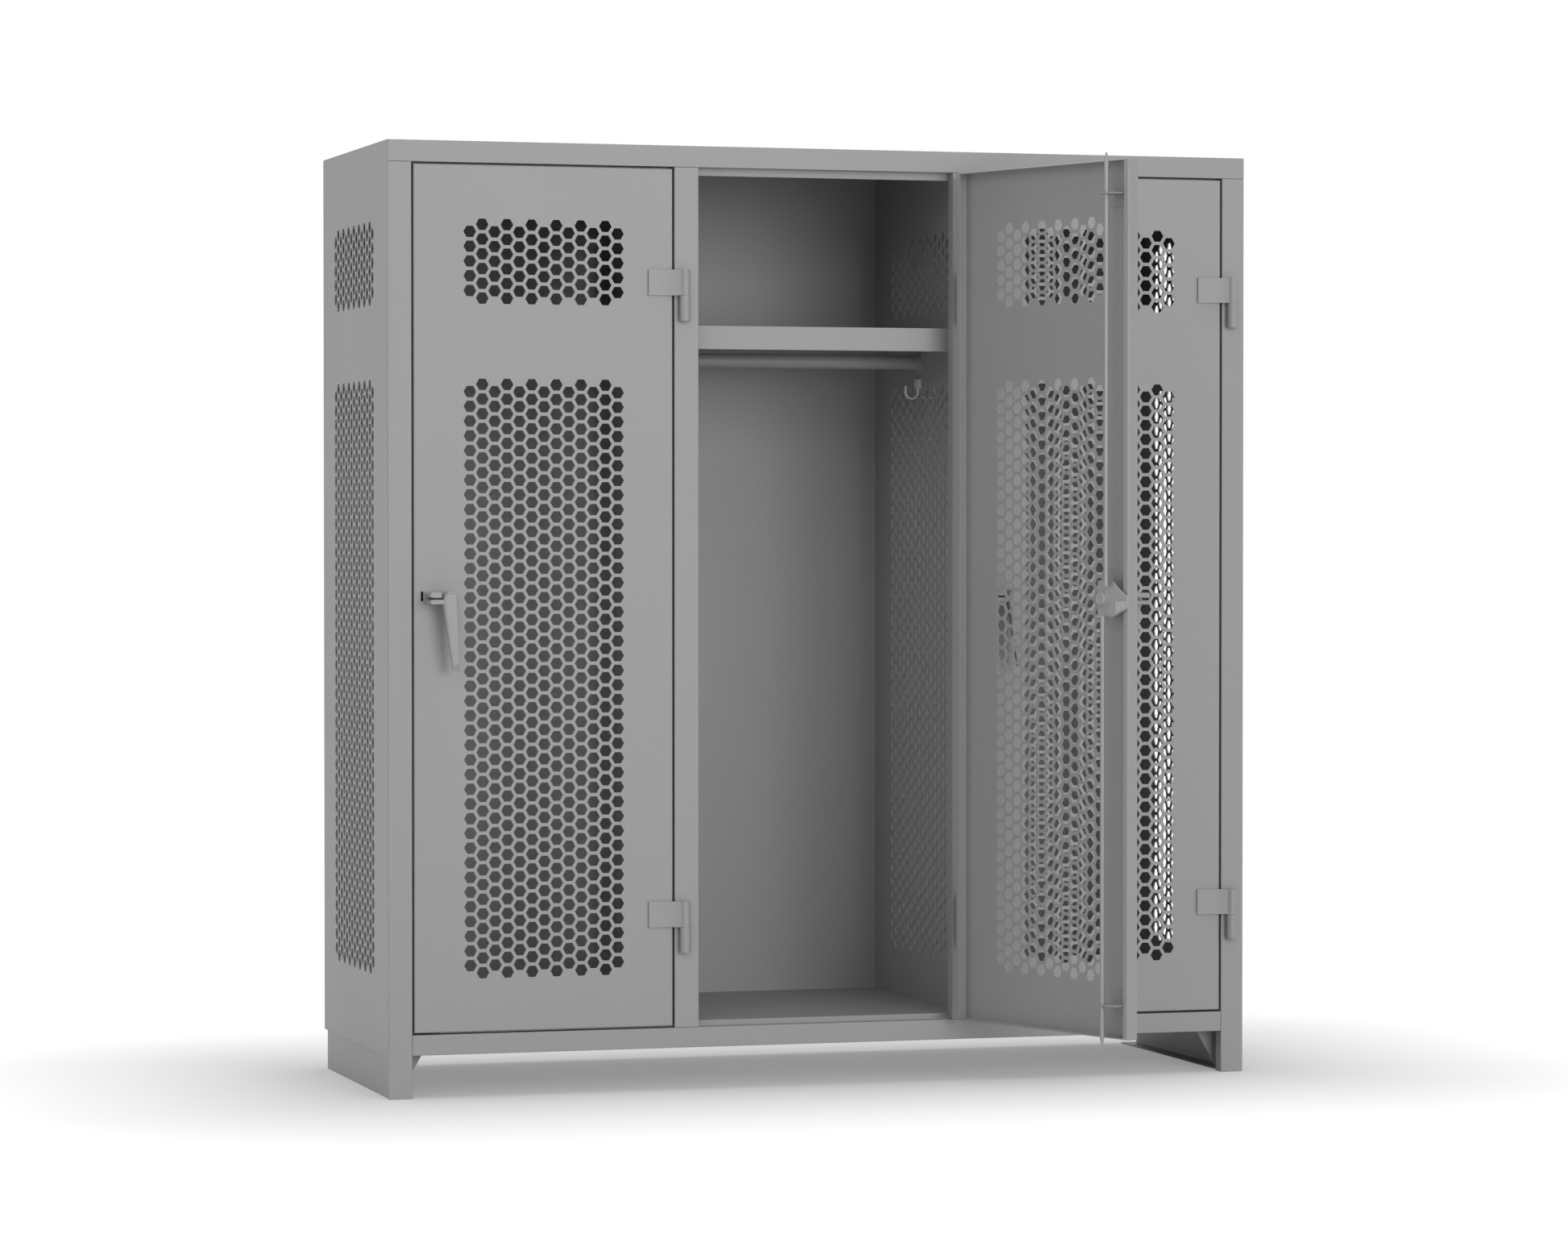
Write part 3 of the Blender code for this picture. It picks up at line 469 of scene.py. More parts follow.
def rounded(outline: tuple[Spot, ...], reach: float, steps: int = 5) -> list[Spot]:
    """Round an outline's corners, each by some reach along its edges and in some steps."""
    points = []
    for index, corner in enumerate(outline):
        here = Vector(corner)
        start, end = (
            here + edge.normalized() * min(reach, edge.length * CORNER_SHARE)
            for edge in (
                Vector(outline[index - 1]) - here,
                Vector(outline[(index + 1) % len(outline)]) - here,
            )
        )
        for step in range(steps + 1):
            share = step / steps
            points.append(tuple(start.lerp(here, share).lerp(here.lerp(end, share), share)))
    return points


def skin(shape: BMesh, rings: list[list[Vector]], closed: bool = False) -> list[list[BMVert]]:
    """Join a row of rings, each with as many points, by quads.

    Args:
        shape: The shape that gets the quads.
        rings: The rings, each a closed loop of points.
        closed: Whether the last ring joins the first.

    Returns:
        The points made for each ring.
    """
    loops = [[shape.verts.new(point) for point in points] for points in rings]
    for low, high in zip(loops, loops[1:] + loops[:closed]):
        for step, corner in enumerate(low):
            after = (step + 1) % len(low)
            shape.faces.new((corner, low[after], high[after], high[step]))
    return loops


def lofted(rings: list[list[Vector]]) -> Mesh:
    """Skin a row of rings into a mesh that is closed at both ends."""
    shape = bmesh.new()
    loops = skin(shape, rings)
    shape.faces.new(loops[0])
    shape.faces.new(loops[-1])
    bmesh.ops.recalc_face_normals(shape, faces=shape.faces)
    return mesh_of(shape)


def prism(outline: list[Spot], axis: int, start: float, end: float) -> Mesh:
    """Closed mesh of an outline, stretched along an axis that is 0, 1 or 2 for X, Y or Z."""
    ends = (start, end)
    return lofted(
        [[Vector((*spot[:axis], place, *spot[axis:])) for spot in outline] for place in ends]
    )


def turned(profile: list[Spot], matrix: Matrix, sides: int) -> Mesh:
    """Closed mesh of (radius, height) pairs, turned about Z in some sides and then placed."""
    return lofted(
        [
            [matrix @ Vector((x, y, height)) for x, y in ring((0, 0), radius, sides)]
            for radius, height in profile
        ]
    )


def tube(route: list[Vector], radii: list[float], side: Vector, sides: int) -> Mesh:
    """A round tube along a flat route.

    Args:
        route: Points of its centre line.
        radii: Its radius at each point.
        side: The direction square to the route's plane.
        sides: Points round the tube.

    Returns:
        A closed mesh.
    """
    rings = []
    for step, (point, radius) in enumerate(zip(route, radii)):
        along = (route[min(step + 1, len(route) - 1)] - route[max(step - 1, 0)]).normalized()
        across = side.cross(along)
        rings.append([point + x * across + y * side for x, y in ring((0, 0), radius, sides)])
    return lofted(rings)


def merged(meshes: list[Mesh], weld: bool = False) -> Mesh:
    """Join meshes into one, in which points that meet can be welded."""
    shape = bmesh.new()
    for mesh in meshes:
        shape.from_mesh(mesh)
    if weld:
        bmesh.ops.remove_doubles(shape, verts=shape.verts, dist=MERGE)
        bmesh.ops.recalc_face_normals(shape, faces=shape.faces)
    return mesh_of(shape)


def owned_nodes() -> list[tuple[str, str]]:
    """Every CAD node with the body that it belongs to."""
    bodies = frame["record"]["behaviour"]["bodies"]
    return [(body, node) for body, nodes in bodies.items() for node in nodes]


def node_box(node: str) -> tuple[Vector, Vector]:
    """Low and high corners of a CAD node's box."""
    low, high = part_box(node)
    return Vector(low), Vector(high)


def node_copy(node: str) -> Mesh:
    """A new mesh of a CAD node, as one merged skin with its flat faces whole."""
    shape = bmesh.new()
    shape.from_mesh(frame["nodes"][node].data)
    bmesh.ops.remove_doubles(shape, verts=shape.verts, dist=MERGE)
    verts, edges = shape.verts[:], shape.edges[:]
    bmesh.ops.dissolve_limit(shape, angle_limit=FLAT, verts=verts, edges=edges, delimit=set())
    return mesh_of(shape)


class GeometryTree(Graph):
    """A Geometry Nodes tree with named inputs."""

    def __init__(self, name: str, kinds: dict[str, str]) -> None:
        """Make the tree with a geometry input and output and its named inputs.

        Args:
            name: The tree's name.
            kinds: Float, Int, Vector, Object or Material, by the input's name.
        """
        super().__init__(bpy.data.node_groups.new(name, "GeometryNodeTree"))
        sockets = self.tree.interface
        for way in ("INPUT", "OUTPUT"):
            sockets.new_socket("Geometry", in_out=way, socket_type="NodeSocketGeometry")
        self.ids = {
            key: sockets.new_socket(key, in_out="INPUT", socket_type=f"NodeSocket{kind}").identifier
            for key, kind in kinds.items()
        }
        self.entry = self.tree.nodes.new("NodeGroupInput")
        self.exit = self.tree.nodes.new("NodeGroupOutput")

    def __getitem__(self, name: str) -> Term:
        """A named input, or the geometry that comes in."""
        return Term(self, self.entry.outputs[name])

    def finish(self, geometry: Term) -> None:
        """End the tree in Realize Instances and Set Material."""
        real = self.node("GeometryNodeRealizeInstances", {0: geometry})
        inputs = {"Geometry": real, "Material": self["Material"]}
        self.feed(self.exit.inputs[0], self.node("GeometryNodeSetMaterial", inputs))

    def run(self, base: Mesh, values: dict[str, object]) -> Mesh:
        """Plain result of the tree on a mesh, with input values by name."""
        inputs = {self.ids[name]: value for name, value in values.items()}
        return modified(base, "NODES", inputs, node_group=self.tree)


@dataclass(frozen=True)
class HoleZone:
    """A band of the hexagonal pattern: its centre height and the rows of its short columns."""

    centre: float
    short_rows: int


@dataclass(frozen=True)
class HolePattern:
    """Hexagonal holes with flats at top and bottom, alternate columns half a pitch apart."""

    flats: float = 0.0227
    column_pitch: float = 0.02544
    row_pitch: float = 0.02944
    zones: tuple[HoleZone, ...] = (HoleZone(0.8378, 40), HoleZone(1.6724, 5))

    def values(self) -> dict[str, float | int]:
        """The pattern as named inputs of a tree."""
        named: dict[str, float | int] = {
            "Hole Flats": self.flats,
            "Column Pitch": self.column_pitch,
            "Row Pitch": self.row_pitch,
        }
        for number, zone in enumerate(self.zones, 1):
            named[f"Zone {number} Height"] = zone.centre
            named[f"Zone {number} Rows"] = zone.short_rows
        return named


class PerforatedSheets:
    """Punches the hexagonal pattern through flat outlines with Geometry Nodes."""

    def __init__(self, pattern: HolePattern) -> None:
        """Build the tree for a hole pattern."""
        self.shared = pattern.values()
        kinds = {"Thickness": "Float", "Long Columns": "Int", "Pattern Middle": "Float"}
        kinds["Material"] = "Material"
        for name, value in self.shared.items():
            kinds[name] = "Int" if isinstance(value, int) else "Float"
        tree = self.tree = GeometryTree("hexagon_punch", kinds)
        lattices = [
            self._lattice(f"Zone {number} ", longer)
            for number in range(1, len(pattern.zones) + 1)
            for longer in (0, 1)
        ]
        spots = tree.node("GeometryNodeJoinGeometry", {0: lattices})
        circle = {"Resolution": 6, "Radius": tree["Hole Flats"] / math.sqrt(3)}
        hexagon = tree.node("GeometryNodeCurvePrimitiveCircle", circle)
        holes = tree.node("GeometryNodeInstanceOnPoints", {"Points": spots, "Instance": hexagon})
        holes = tree.node("GeometryNodeRealizeInstances", {0: holes})
        edge = tree.node("GeometryNodeMeshToCurve", {0: tree["Geometry"]})
        outline = tree.node("GeometryNodeJoinGeometry", {0: [edge, holes]})
        sheet = tree.node("GeometryNodeFillCurve", {0: outline})
        growth = {"Mesh": sheet, "Offset Scale": tree["Thickness"], "Individual": False}
        grown = tree.node("GeometryNodeExtrudeMesh", growth)
        under = tree.node("GeometryNodeFlipFaces", {0: sheet})
        both = tree.node("GeometryNodeJoinGeometry", {0: [grown, under]})
        weld = {"Geometry": both, "Distance": MERGE}
        tree.finish(tree.node("GeometryNodeMergeByDistance", weld))

    def _lattice(self, zone: str, longer: int) -> Term:
        """Every second column of a zone as a grid of points.

        Args:
            zone: The start of the zone's input names.
            longer: One for its long columns, zero for the short ones, of which there is one more.

        Returns:
            The grid, moved to its place.
        """
        tree = self.tree
        columns = tree["Long Columns"] + (1 - longer)
        rows = tree[f"{zone}Rows"] + longer
        width = (columns - 1) * tree["Column Pitch"] * 2
        height = (rows - 1) * tree["Row Pitch"]
        size = {"Size X": width, "Size Y": height, "Vertices X": columns, "Vertices Y": rows}
        grid = tree.node("GeometryNodeMeshGrid", size)
        middle = {0: tree["Pattern Middle"], 1: tree[f"{zone}Height"], 2: 0.0}
        place = tree.node("ShaderNodeCombineXYZ", middle)
        return tree.node("GeometryNodeTransform", {"Geometry": grid, "Translation": place})

    def punch(
        self, loops: list[list[Spot]], thickness: float, middle: float, long_columns: int,
        material: Material,
    ) -> Mesh:
        """Punch one flat sheet, its outline in the XY plane.

        Args:
            loops: The sheet's outline, then any extra holes.
            thickness: The sheet's thickness, which grows along +Z.
            middle: The pattern's middle across the sheet.
            long_columns: How many columns are long ones.
            material: The sheet's finish.

        Returns:
            The sheet's mesh.
        """
        shape = bmesh.new()
        for loop in loops:
            verts = [shape.verts.new((x, y, 0)) for x, y in loop]
            for first, second in zip(verts, verts[1:] + verts[:1]):
                shape.edges.new((first, second))
        values = {"Thickness": thickness, "Long Columns": long_columns, "Pattern Middle": middle}
        return self.tree.run(mesh_of(shape), {**values, **self.shared, "Material": material})


@dataclass
class Screws:
    """Flush screws in the side panels, set out with Geometry Nodes."""

    shop: Workshop
    head_radius: float = 0.0034
    room: float = 0.00015
    sunk: float = 0.0001
    dome: float = 0.0009
    length: float = 0.0026
    socket_radius: float = 0.0012
    socket_foot_share: float = 0.8
    dome_shares: tuple[Spot, ...] = ((0.93, 0.5), (0.75, 0.15), (0.5, 0.0))
    hole_sides: int = 24
    spots: tuple[Spot, ...] = (
        (0.118, 1.9010), (0.550, 1.9010), (0.556, 1.5336), (0.113, 1.5344),
        (0.314, 1.4528), (0.537, 0.1070), (0.137, 0.1060),
    )

    def holes(self, front: float) -> list[list[Spot]]:
        """Loops of the screw holes in a side panel's plane, behind the case's front."""
        radius = self.head_radius + self.room
        return [ring((front + y, z), radius, self.hole_sides) for y, z in self.spots]

    def _head(self) -> Mesh:
        """One low domed head with a socket, its top just under z = 0."""
        radius = self.head_radius
        profile = [(radius, -self.length), (radius, -self.dome)]
        profile += [(radius * out, -self.sunk - self.dome * down) for out, down in self.dome_shares]
        profile += [
            (self.socket_radius, -self.sunk),
            (self.socket_radius * self.socket_foot_share, -self.dome - self.sunk),
        ]
        return turned(profile, Matrix.Identity(4), self.hole_sides)

    def build(self) -> None:
        """Set the screws in both sides of the case."""
        head = linked("screw_head", self._head())
        kinds = {"Screw": "Object", "Turn": "Vector", "Material": "Material"}
        tree = GeometryTree("screw_rows", kinds)
        shape = tree.node("GeometryNodeObjectInfo", {"Object": tree["Screw"]}, "Geometry")
        leant = tree.node("FunctionNodeEulerToRotation", {0: tree["Turn"]})
        points = tree.node("GeometryNodeMeshToPoints", {0: tree["Geometry"]})
        inputs = {"Points": points, "Instance": shape, "Rotation": leant}
        tree.finish(tree.node("GeometryNodeInstanceOnPoints", inputs))
        front = node_box("header")[0].y
        plated = self.shop.finishes.plated
        for side, index, lean in (("left", 0, -QUARTER), ("right", 1, QUARTER)):
            x = node_box(f"side_panel_{side}")[index].x
            places = bmesh.new()
            for y, z in self.spots:
                places.verts.new((x, front + y, z))
            values = {"Screw": head, "Turn": (0, lean, 0), "Material": plated}
            mesh = tree.run(mesh_of(places), values)
            self.shop.add(f"side_screws_{side}", mesh, "cabinet", Surface.CASE, (), plated)
        bpy.data.objects.remove(head)


@dataclass
class Walls:
    """Perforated side panels and dividers."""

    shop: Workshop
    sheets: PerforatedSheets
    screws: Screws
    pattern_behind_front: float = 0.321
    long_columns: int = 7
    nodes: tuple[str, ...] = (
        "side_panel_left", "side_panel_right", "divider_left", "divider_right",
    )

    def build(self) -> None:
        """Make the four sheets in place of their nodes."""
        front = node_box("header")[0].y
        middle = front + self.pattern_behind_front
        coat = self.shop.finishes.by_surface[Surface.CASE]
        for node in self.nodes:
            low, high = node_box(node)
            if node.startswith("divider"):
                loops = [self._notched(low, high)]
            else:
                loops = [rectangle(low.y, high.y, low.z, high.z), *self.screws.holes(front)]
            mesh = self.sheets.punch(loops, high.x - low.x, middle, self.long_columns, coat)
            # The sheet's own x, y and z become the frame's y, z and x.
            mesh.transform(Matrix(((0, 0, 1, low.x), (1, 0, 0, 0), (0, 1, 0, 0), (0, 0, 0, 1))))
            self.shop.add(f"{node}_sheet", mesh, "cabinet", Surface.CASE, (node,))

    @staticmethod
    def _notched(low: Vector, high: Vector) -> list[Spot]:
        """Outline of a divider, which is notched under the header's return."""
        step = node_box("top_panel")[0].y
        under = node_box("end_stile_left")[1].z
        notch = [(step, high.z), (step, under), (low.y, under)]
        return [(low.y, low.z), (high.y, low.z), (high.y, high.z), *notch]


@dataclass
class Door:
    """One perforated door pan, in its hinge's own frame."""

    shop: Workshop
    sheets: PerforatedSheets
    bay: str
    beside_hinge: float = 0.023
    stand_off: float = 0.0113
    sheet: float = 0.002
    flange: float = 0.027
    side_return: float = 0.013
    bend: float = 0.003
    rim: float = 0.012
    long_columns: int = 6
    spindle_hole: float = 0.013
    slot_from_edge: float = 0.0142
    slot_width: float = 0.0053
    slot_below: float = 0.0066
    slot_above: float = 0.0127
    bend_steps: int = 4
    circle_steps: int = 32
    guide_near: float = 0.016
    guide_width: float = 0.054
    guide_reach: float = 0.050
    guide_sheet: float = 0.0025
    guide_leg: float = 0.026
    guide_edge: float = 0.0004
    guide_from_end: float = 0.0661
    guide_hole: float = 0.011
    rod_depth: float = 0.043
    upper_rod_from_edge: float = 0.047
    lower_rod_from_edge: float = 0.057

    def __post_init__(self) -> None:
        """Read the door's place and size from the frame."""
        joints = {joint["name"]: joint for joint in frame["joints"]}
        swing = joints[f"door_swing_{self.bay}"]
        x, y, _ = swing["pos_m"]
        angle = math.radians(-swing["range_deg"][0])
        self.matrix = Matrix.Translation((x, y, 0)) @ Matrix.Rotation(angle, 4, "Z")
        low, high = node_box("door_pan_left")
        self.free = low.x - high.x - self.beside_hinge
        self.low, self.high = low.z, high.z
        self.spindle = self.matrix.inverted() @ Vector(joints[f"handle_turn_{self.bay}"]["pos_m"])
        self.at_spindle = self.matrix @ Matrix.Translation(self.spindle)

    def _loop(self, across: float, up: float, depth: float) -> list[Vector]:
        """Four corners of the door at some insets and a depth from its face."""
        sides = (self.free + across, -self.beside_hinge - across)
        corners = rectangle(*sides, self.low + up, self.high - up)
        return [Vector((x, self.stand_off + depth, z)) for x, z in corners]

    def _rim(self) -> Mesh:
        """The folded rim: face border, bends, flanges and returns, round all four sides."""
        bend, back, steps = self.bend, self.flange, self.bend_steps
        outside, inside = (
            [
                *arc((bend, back - bend), radius, QUARTER, QUARTER, steps),
                *arc((bend, bend), radius, math.pi, QUARTER, steps),
            ]
            for radius in (bend, bend - self.sheet)
        )
        profile = [(self.rim, self.rim, 0.0)]
        profile += [(inset, inset, depth) for inset, depth in reversed(outside)]
        profile += [(self.side_return, bend, depth) for depth in (back, back - self.sheet)]
        profile += [(inset, inset, depth) for inset, depth in inside]
        profile += [(self.rim, self.rim, self.sheet)]
        shape = bmesh.new()
        skin(shape, [self._loop(*place) for place in profile])
        return mesh_of(shape)

    def _panel(self) -> Mesh:
        """The punched face inside the rim, without walls where the rim goes on."""
        outline = [(point.x, point.z) for point in self._loop(self.rim, self.rim, 0)]
        centre = (self.spindle.x, self.spindle.z)
        spindle = ring(centre, self.spindle_hole / 2, self.circle_steps)
        slot_left = self.free + self.slot_from_edge
        slot_ends = (self.spindle.z - self.slot_below, self.spindle.z + self.slot_above)
        loops = [outline, spindle, rectangle(slot_left, slot_left + self.slot_width, *slot_ends)]
        middle = (self.free - self.beside_hinge) / 2
        coat = self.shop.finishes.by_surface[Surface.DOOR]
        mesh = self.sheets.punch(loops, self.sheet, middle, self.long_columns, coat)
        shape = bmesh.new()
        shape.from_mesh(mesh)
        edges = [(axis, corner[axis]) for corner in (outline[0], outline[2]) for axis in (0, 1)]
        walls = [
            face
            for face in shape.faces
            for axis, value in edges
            if all(abs(vert.co[axis] - value) < MERGE for vert in face.verts)
        ]
        bmesh.ops.delete(shape, geom=walls, context="FACES_ONLY")
        # The sheet's own x, y and z become the door's x, z and depth.
        turn = Matrix(((1, 0, 0, 0), (0, 0, 1, self.stand_off), (0, 1, 0, 0), (0, 0, 0, 1)))
        bmesh.ops.transform(shape, matrix=turn, verts=shape.verts)
        return mesh_of(shape)

    def build(self) -> None:
        """Make the pan with its rod guides."""
        pan = merged([self._rim(), self._panel()], weld=True)
        mesh = merged([pan, *self._guides()])
        mesh.transform(self.matrix)
        body = f"door_{self.bay}"
        self.shop.add(f"{body}_pan", mesh, body, Surface.DOOR, (f"door_pan_{self.bay}",))

    def _guides(self) -> list[Mesh]:
        """Angle brackets inside the door with a hole for each latch rod."""
        left = self.free + self.guide_near
        right = left + self.guide_width
        inner = self.stand_off + self.sheet
        box = (left, right, inner, self.stand_off + self.guide_reach)
        meshes = []
        for height, inward, rod in (
            (self.high - self.guide_from_end, -1, self.upper_rod_from_edge),
            (self.low + self.guide_from_end, 1, self.lower_rod_from_edge),
        ):
            centre = Vector((self.free + rod, self.stand_off + self.rod_depth))
            meshes.append(self._holed_plate(centre, box, height, inward))
            leg_end = height + inward * self.guide_leg
            leg = prism(rectangle(inner, inner + self.guide_sheet, height, leg_end), 0, left, right)
            meshes.append(softened(leg, self.guide_edge, segments=1))
        return meshes

    def _holed_plate(
        self, centre: Vector, box: tuple[float, ...], height: float, inward: int
    ) -> Mesh:
        """A flat plate with a round hole.

        Args:
            centre: The hole's centre in x and y.
            box: The plate's left, right, front and back.
            height: The plate's outer face.
            inward: Which way it is thick along Z.

        Returns:
            A closed mesh.
        """
        turns = [Vector(spot) for spot in ring((0, 0), 1, self.circle_steps, 0.5)]
        edge = []
        for turn in turns:
            # The ray that leaves the hole's centre ends at the first side that it meets.
            reach = min(
                ((after if way > 0 else before) - start) / way
                for start, way, before, after in zip(centre, turn, box[::2], box[1::2])
                if way
            )
            edge.append(centre + turn * reach)
        hole = [centre + turn * (self.guide_hole / 2) for turn in turns]
        far = height + inward * self.guide_sheet
        loops = ((edge, height), (hole, height), (hole, far), (edge, far))
        shape = bmesh.new()
        skin(shape, [[Vector((*spot, z)) for spot in spots] for spots, z in loops], closed=True)
        bmesh.ops.recalc_face_normals(shape, faces=shape.faces)
        return mesh_of(shape)


@dataclass
class Handle:
    """Turn handle outside a door: head, lever and the lower half of the padlock lug."""

    shop: Workshop
    door: Door
    head_radius: float = 0.013
    head_start: float = 0.0033
    head_out: float = 0.050
    head_sides: int = 48
    collar_rise: float = 0.0008
    collar_length: float = 0.003
    lug_reach: float = 0.0415
    lug_out: float = 0.051
    lug_low: float = -0.0120
    lug_high: float = -0.0031
    lug_round: float = 0.0006
    lug_steps: int = 12
    section_points: int = 40
    section_power: float = 0.34
    # Height, left, right, and the inner and outer distance from the door's face
    stations: tuple[tuple[float, ...], ...] = (
        (0.0095, -0.0030, 0.0090, 0.0350, 0.0500),
        (0.0089, -0.0072, 0.0122, 0.0332, 0.0515),
        (0.0072, -0.0108, 0.0140, 0.0323, 0.0523),
        (0.0040, -0.0136, 0.0147, 0.0320, 0.0525),
        (0.0000, -0.0146, 0.0148, 0.0322, 0.0527),
        (-0.0120, -0.0147, 0.0151, 0.0330, 0.0530),
        (-0.0500, -0.0093, 0.0160, 0.0358, 0.0530),
        (-0.1000, -0.0023, 0.0173, 0.0395, 0.0530),
        (-0.1300, 0.0021, 0.0181, 0.0418, 0.0530),
        (-0.1325, 0.0025, 0.0181, 0.0420, 0.0527),
        (-0.1390, 0.0034, 0.0182, 0.0424, 0.0503),
        (-0.1433, 0.0043, 0.0180, 0.0429, 0.0482),
        (-0.1446, 0.0056, 0.0170, 0.0434, 0.0474),
        (-0.1450, 0.0075, 0.0151, 0.0442, 0.0464),
    )

    def _section(self, station: tuple[float, ...]) -> list[Vector]:
        """A ring of points round the lever at a station, a rounded rectangle."""
        height, left, right, inner, outer = station
        points = []
        for turn in ring((0, 0), 1, self.section_points, 0.5):
            x, y = (math.copysign(abs(value) ** self.section_power, value) for value in turn)
            across = (left + right) / 2 + x * (right - left) / 2
            points.append(Vector((across, -(inner + outer) / 2 + y * (outer - inner) / 2, height)))
        return points

    def _lug(self) -> Mesh:
        """The moving lower half of the padlock lug."""
        radius = (self.lug_high - self.lug_low) / 2
        centre = (radius - self.lug_reach, self.lug_low + radius)
        outline = [(0.0, self.lug_low), (0.0, self.lug_high)]
        outline += arc(centre, radius, QUARTER, math.pi, self.lug_steps)
        return softened(prism(outline, 1, -self.head_start, -self.lug_out), self.lug_round)

    def build(self) -> None:
        """Make the handle in the spindle's frame, then place it."""
        collar = self.head_radius + self.collar_rise
        collar_end = self.head_start + self.collar_length
        profile = [
            (collar, self.head_start),
            (collar, collar_end),
            (self.head_radius, collar_end + self.collar_rise),
            (self.head_radius, self.head_out),
        ]
        head = turned(profile, Matrix.Rotation(QUARTER, 4, "X"), self.head_sides)
        lever = lofted([self._section(station) for station in self.stations])
        mesh = merged([head, lever, self._lug()])
        mesh.transform(self.door.at_spindle)
        node, body = f"handle_{self.door.bay}", f"latch_{self.door.bay}"
        self.shop.add(f"{node}_lever", mesh, body, Surface.FITTING, (node,))


@dataclass
class Cam:
    """Latch cam inside a door: a kite-shaped plate with a ramp on its nose, a nut and a boss."""

    shop: Workshop
    door: Door
    near: float = 0.0303
    face: float = 0.0340
    corner_reach: float = 0.007
    edge: float = 0.0009
    spindle_radius: float = 0.006
    spindle_start: float = -0.003
    spindle_sides: int = 32
    nut_radius: float = 0.019
    nut_face: float = 0.0378
    boss_radius: float = 0.0125
    boss_end: float = 0.0450
    boss_sides: int = 48
    boss_rim: float = 0.0027
    boss_slope: float = 0.00036
    outline: tuple[Spot, ...] = (
        (-0.0720, 0.0040), (-0.0450, 0.0195), (-0.0290, 0.0330), (-0.0210, 0.0365),
        (0.0190, 0.0365), (0.0190, -0.0365), (-0.0240, -0.0365), (-0.0360, -0.0325),
        (-0.0660, -0.0205), (-0.0715, -0.0150),
    )
    # Distance from the spindle, high and low edge, and depth of the face
    ramp: tuple[tuple[float, ...], ...] = (
        (-0.0370, -0.0040, -0.0305, 0.0372),
        (-0.0690, -0.0040, -0.0175, 0.0346),
    )

    def _ramp(self) -> Mesh:
        """The nose's proud lower half, which falls towards its tip."""
        under = (self.near + self.face) / 2
        rings = [
            [Vector((x, y, z)) for y, z in ((under, high), (out, high), (out, low), (under, low))]
            for x, high, low, out in self.ramp
        ]
        return softened(lofted(rings), self.edge / 2)

    def build(self) -> None:
        """Make the cam in the spindle's frame, then place it."""
        inwards = Matrix.Rotation(-QUARTER, 4, "X")
        inside = self.face - self.edge
        plate = prism(rounded(self.outline, self.corner_reach), 1, self.near, self.face)
        nut = prism(ring((0, 0), self.nut_radius, 6), 1, inside, self.nut_face)
        radius, end, edge = self.boss_radius, self.boss_end, self.edge
        boss = [
            (radius, inside),
            (radius, end - edge),
            (radius - edge, end),
            (radius - self.boss_rim, end),
            (radius - self.boss_rim - self.boss_slope, end - edge / 2),
        ]
        spindle = [(self.spindle_radius, self.spindle_start), (self.spindle_radius, inside)]
        meshes = [softened(plate, edge), softened(nut, edge)]
        for profile, sides in ((boss, self.boss_sides), (spindle, self.spindle_sides)):
            meshes.append(turned(profile, inwards, sides))
        mesh = merged([*meshes, self._ramp()])
        mesh.transform(self.door.at_spindle)
        # The cam's steel is lighter than the rods': the extra lightness is painted light.
        bay, cast = self.door.bay, self.shop.finishes.cast
        nodes = (f"latch_cam_{bay}",)
        self.shop.add(f"cam_{bay}_plate", mesh, f"latch_{bay}", Surface.STEEL, nodes, cast)


@dataclass
class RoundBars:
    """Upright round pieces: the frame's hinge barrels with their pins, and the latch rods."""

    shop: Workshop
    sides: int = 40
    barrel_radius: float = 0.011
    barrel_chamfer: float = 0.0012
    pin_radius: float = 0.006
    pin_length: float = 0.042
    pin_chamfer: float = 0.0008
    rod_radius: float = 0.00475
    rod_chamfer: float = 0.0006
    rod_cone: float = 0.0175
    rod_tip_radius: float = 0.0015

    def _barrel(self, low: float, high: float) -> list[Spot]:
        """Profile of a barrel with its pin standing up."""
        radius, chamfer = self.barrel_radius, self.barrel_chamfer
        top = high - self.pin_length
        return [
            (radius - chamfer, low),
            (radius, low + chamfer),
            (radius, top - chamfer),
            (radius - chamfer, top),
            (self.pin_radius, top),
            (self.pin_radius, high - self.pin_chamfer),
            (self.pin_radius - self.pin_chamfer, high),
        ]

    def _rod(self, plain: float, tip: float) -> list[Spot]:
        """Profile of a latch rod from its plain end to its coned tip."""
        way = math.copysign(1, tip - plain)
        return [
            (self.rod_radius - self.rod_chamfer, plain),
            (self.rod_radius, plain + way * self.rod_chamfer),
            (self.rod_radius, tip - way * self.rod_cone),
            (self.rod_tip_radius, tip),
        ]

    def build(self) -> None:
        """Replace every barrel and rod."""
        for body, node in owned_nodes():
            low, high = node_box(node)
            if node.startswith("frame_barrel"):
                profile, surface = self._barrel(low.z, high.z), Surface.CASE
            elif node.startswith("latch_rod"):
                ends = (low.z, high.z) if "upper" in node else (high.z, low.z)
                profile, surface = self._rod(*ends), Surface.STEEL
            else:
                continue
            middle = (low + high) / 2
            place = Matrix.Translation((middle.x, middle.y, 0))
            mesh = turned(profile, place, self.sides)
            self.shop.add(f"{node}_round", mesh, body, surface, (node,))


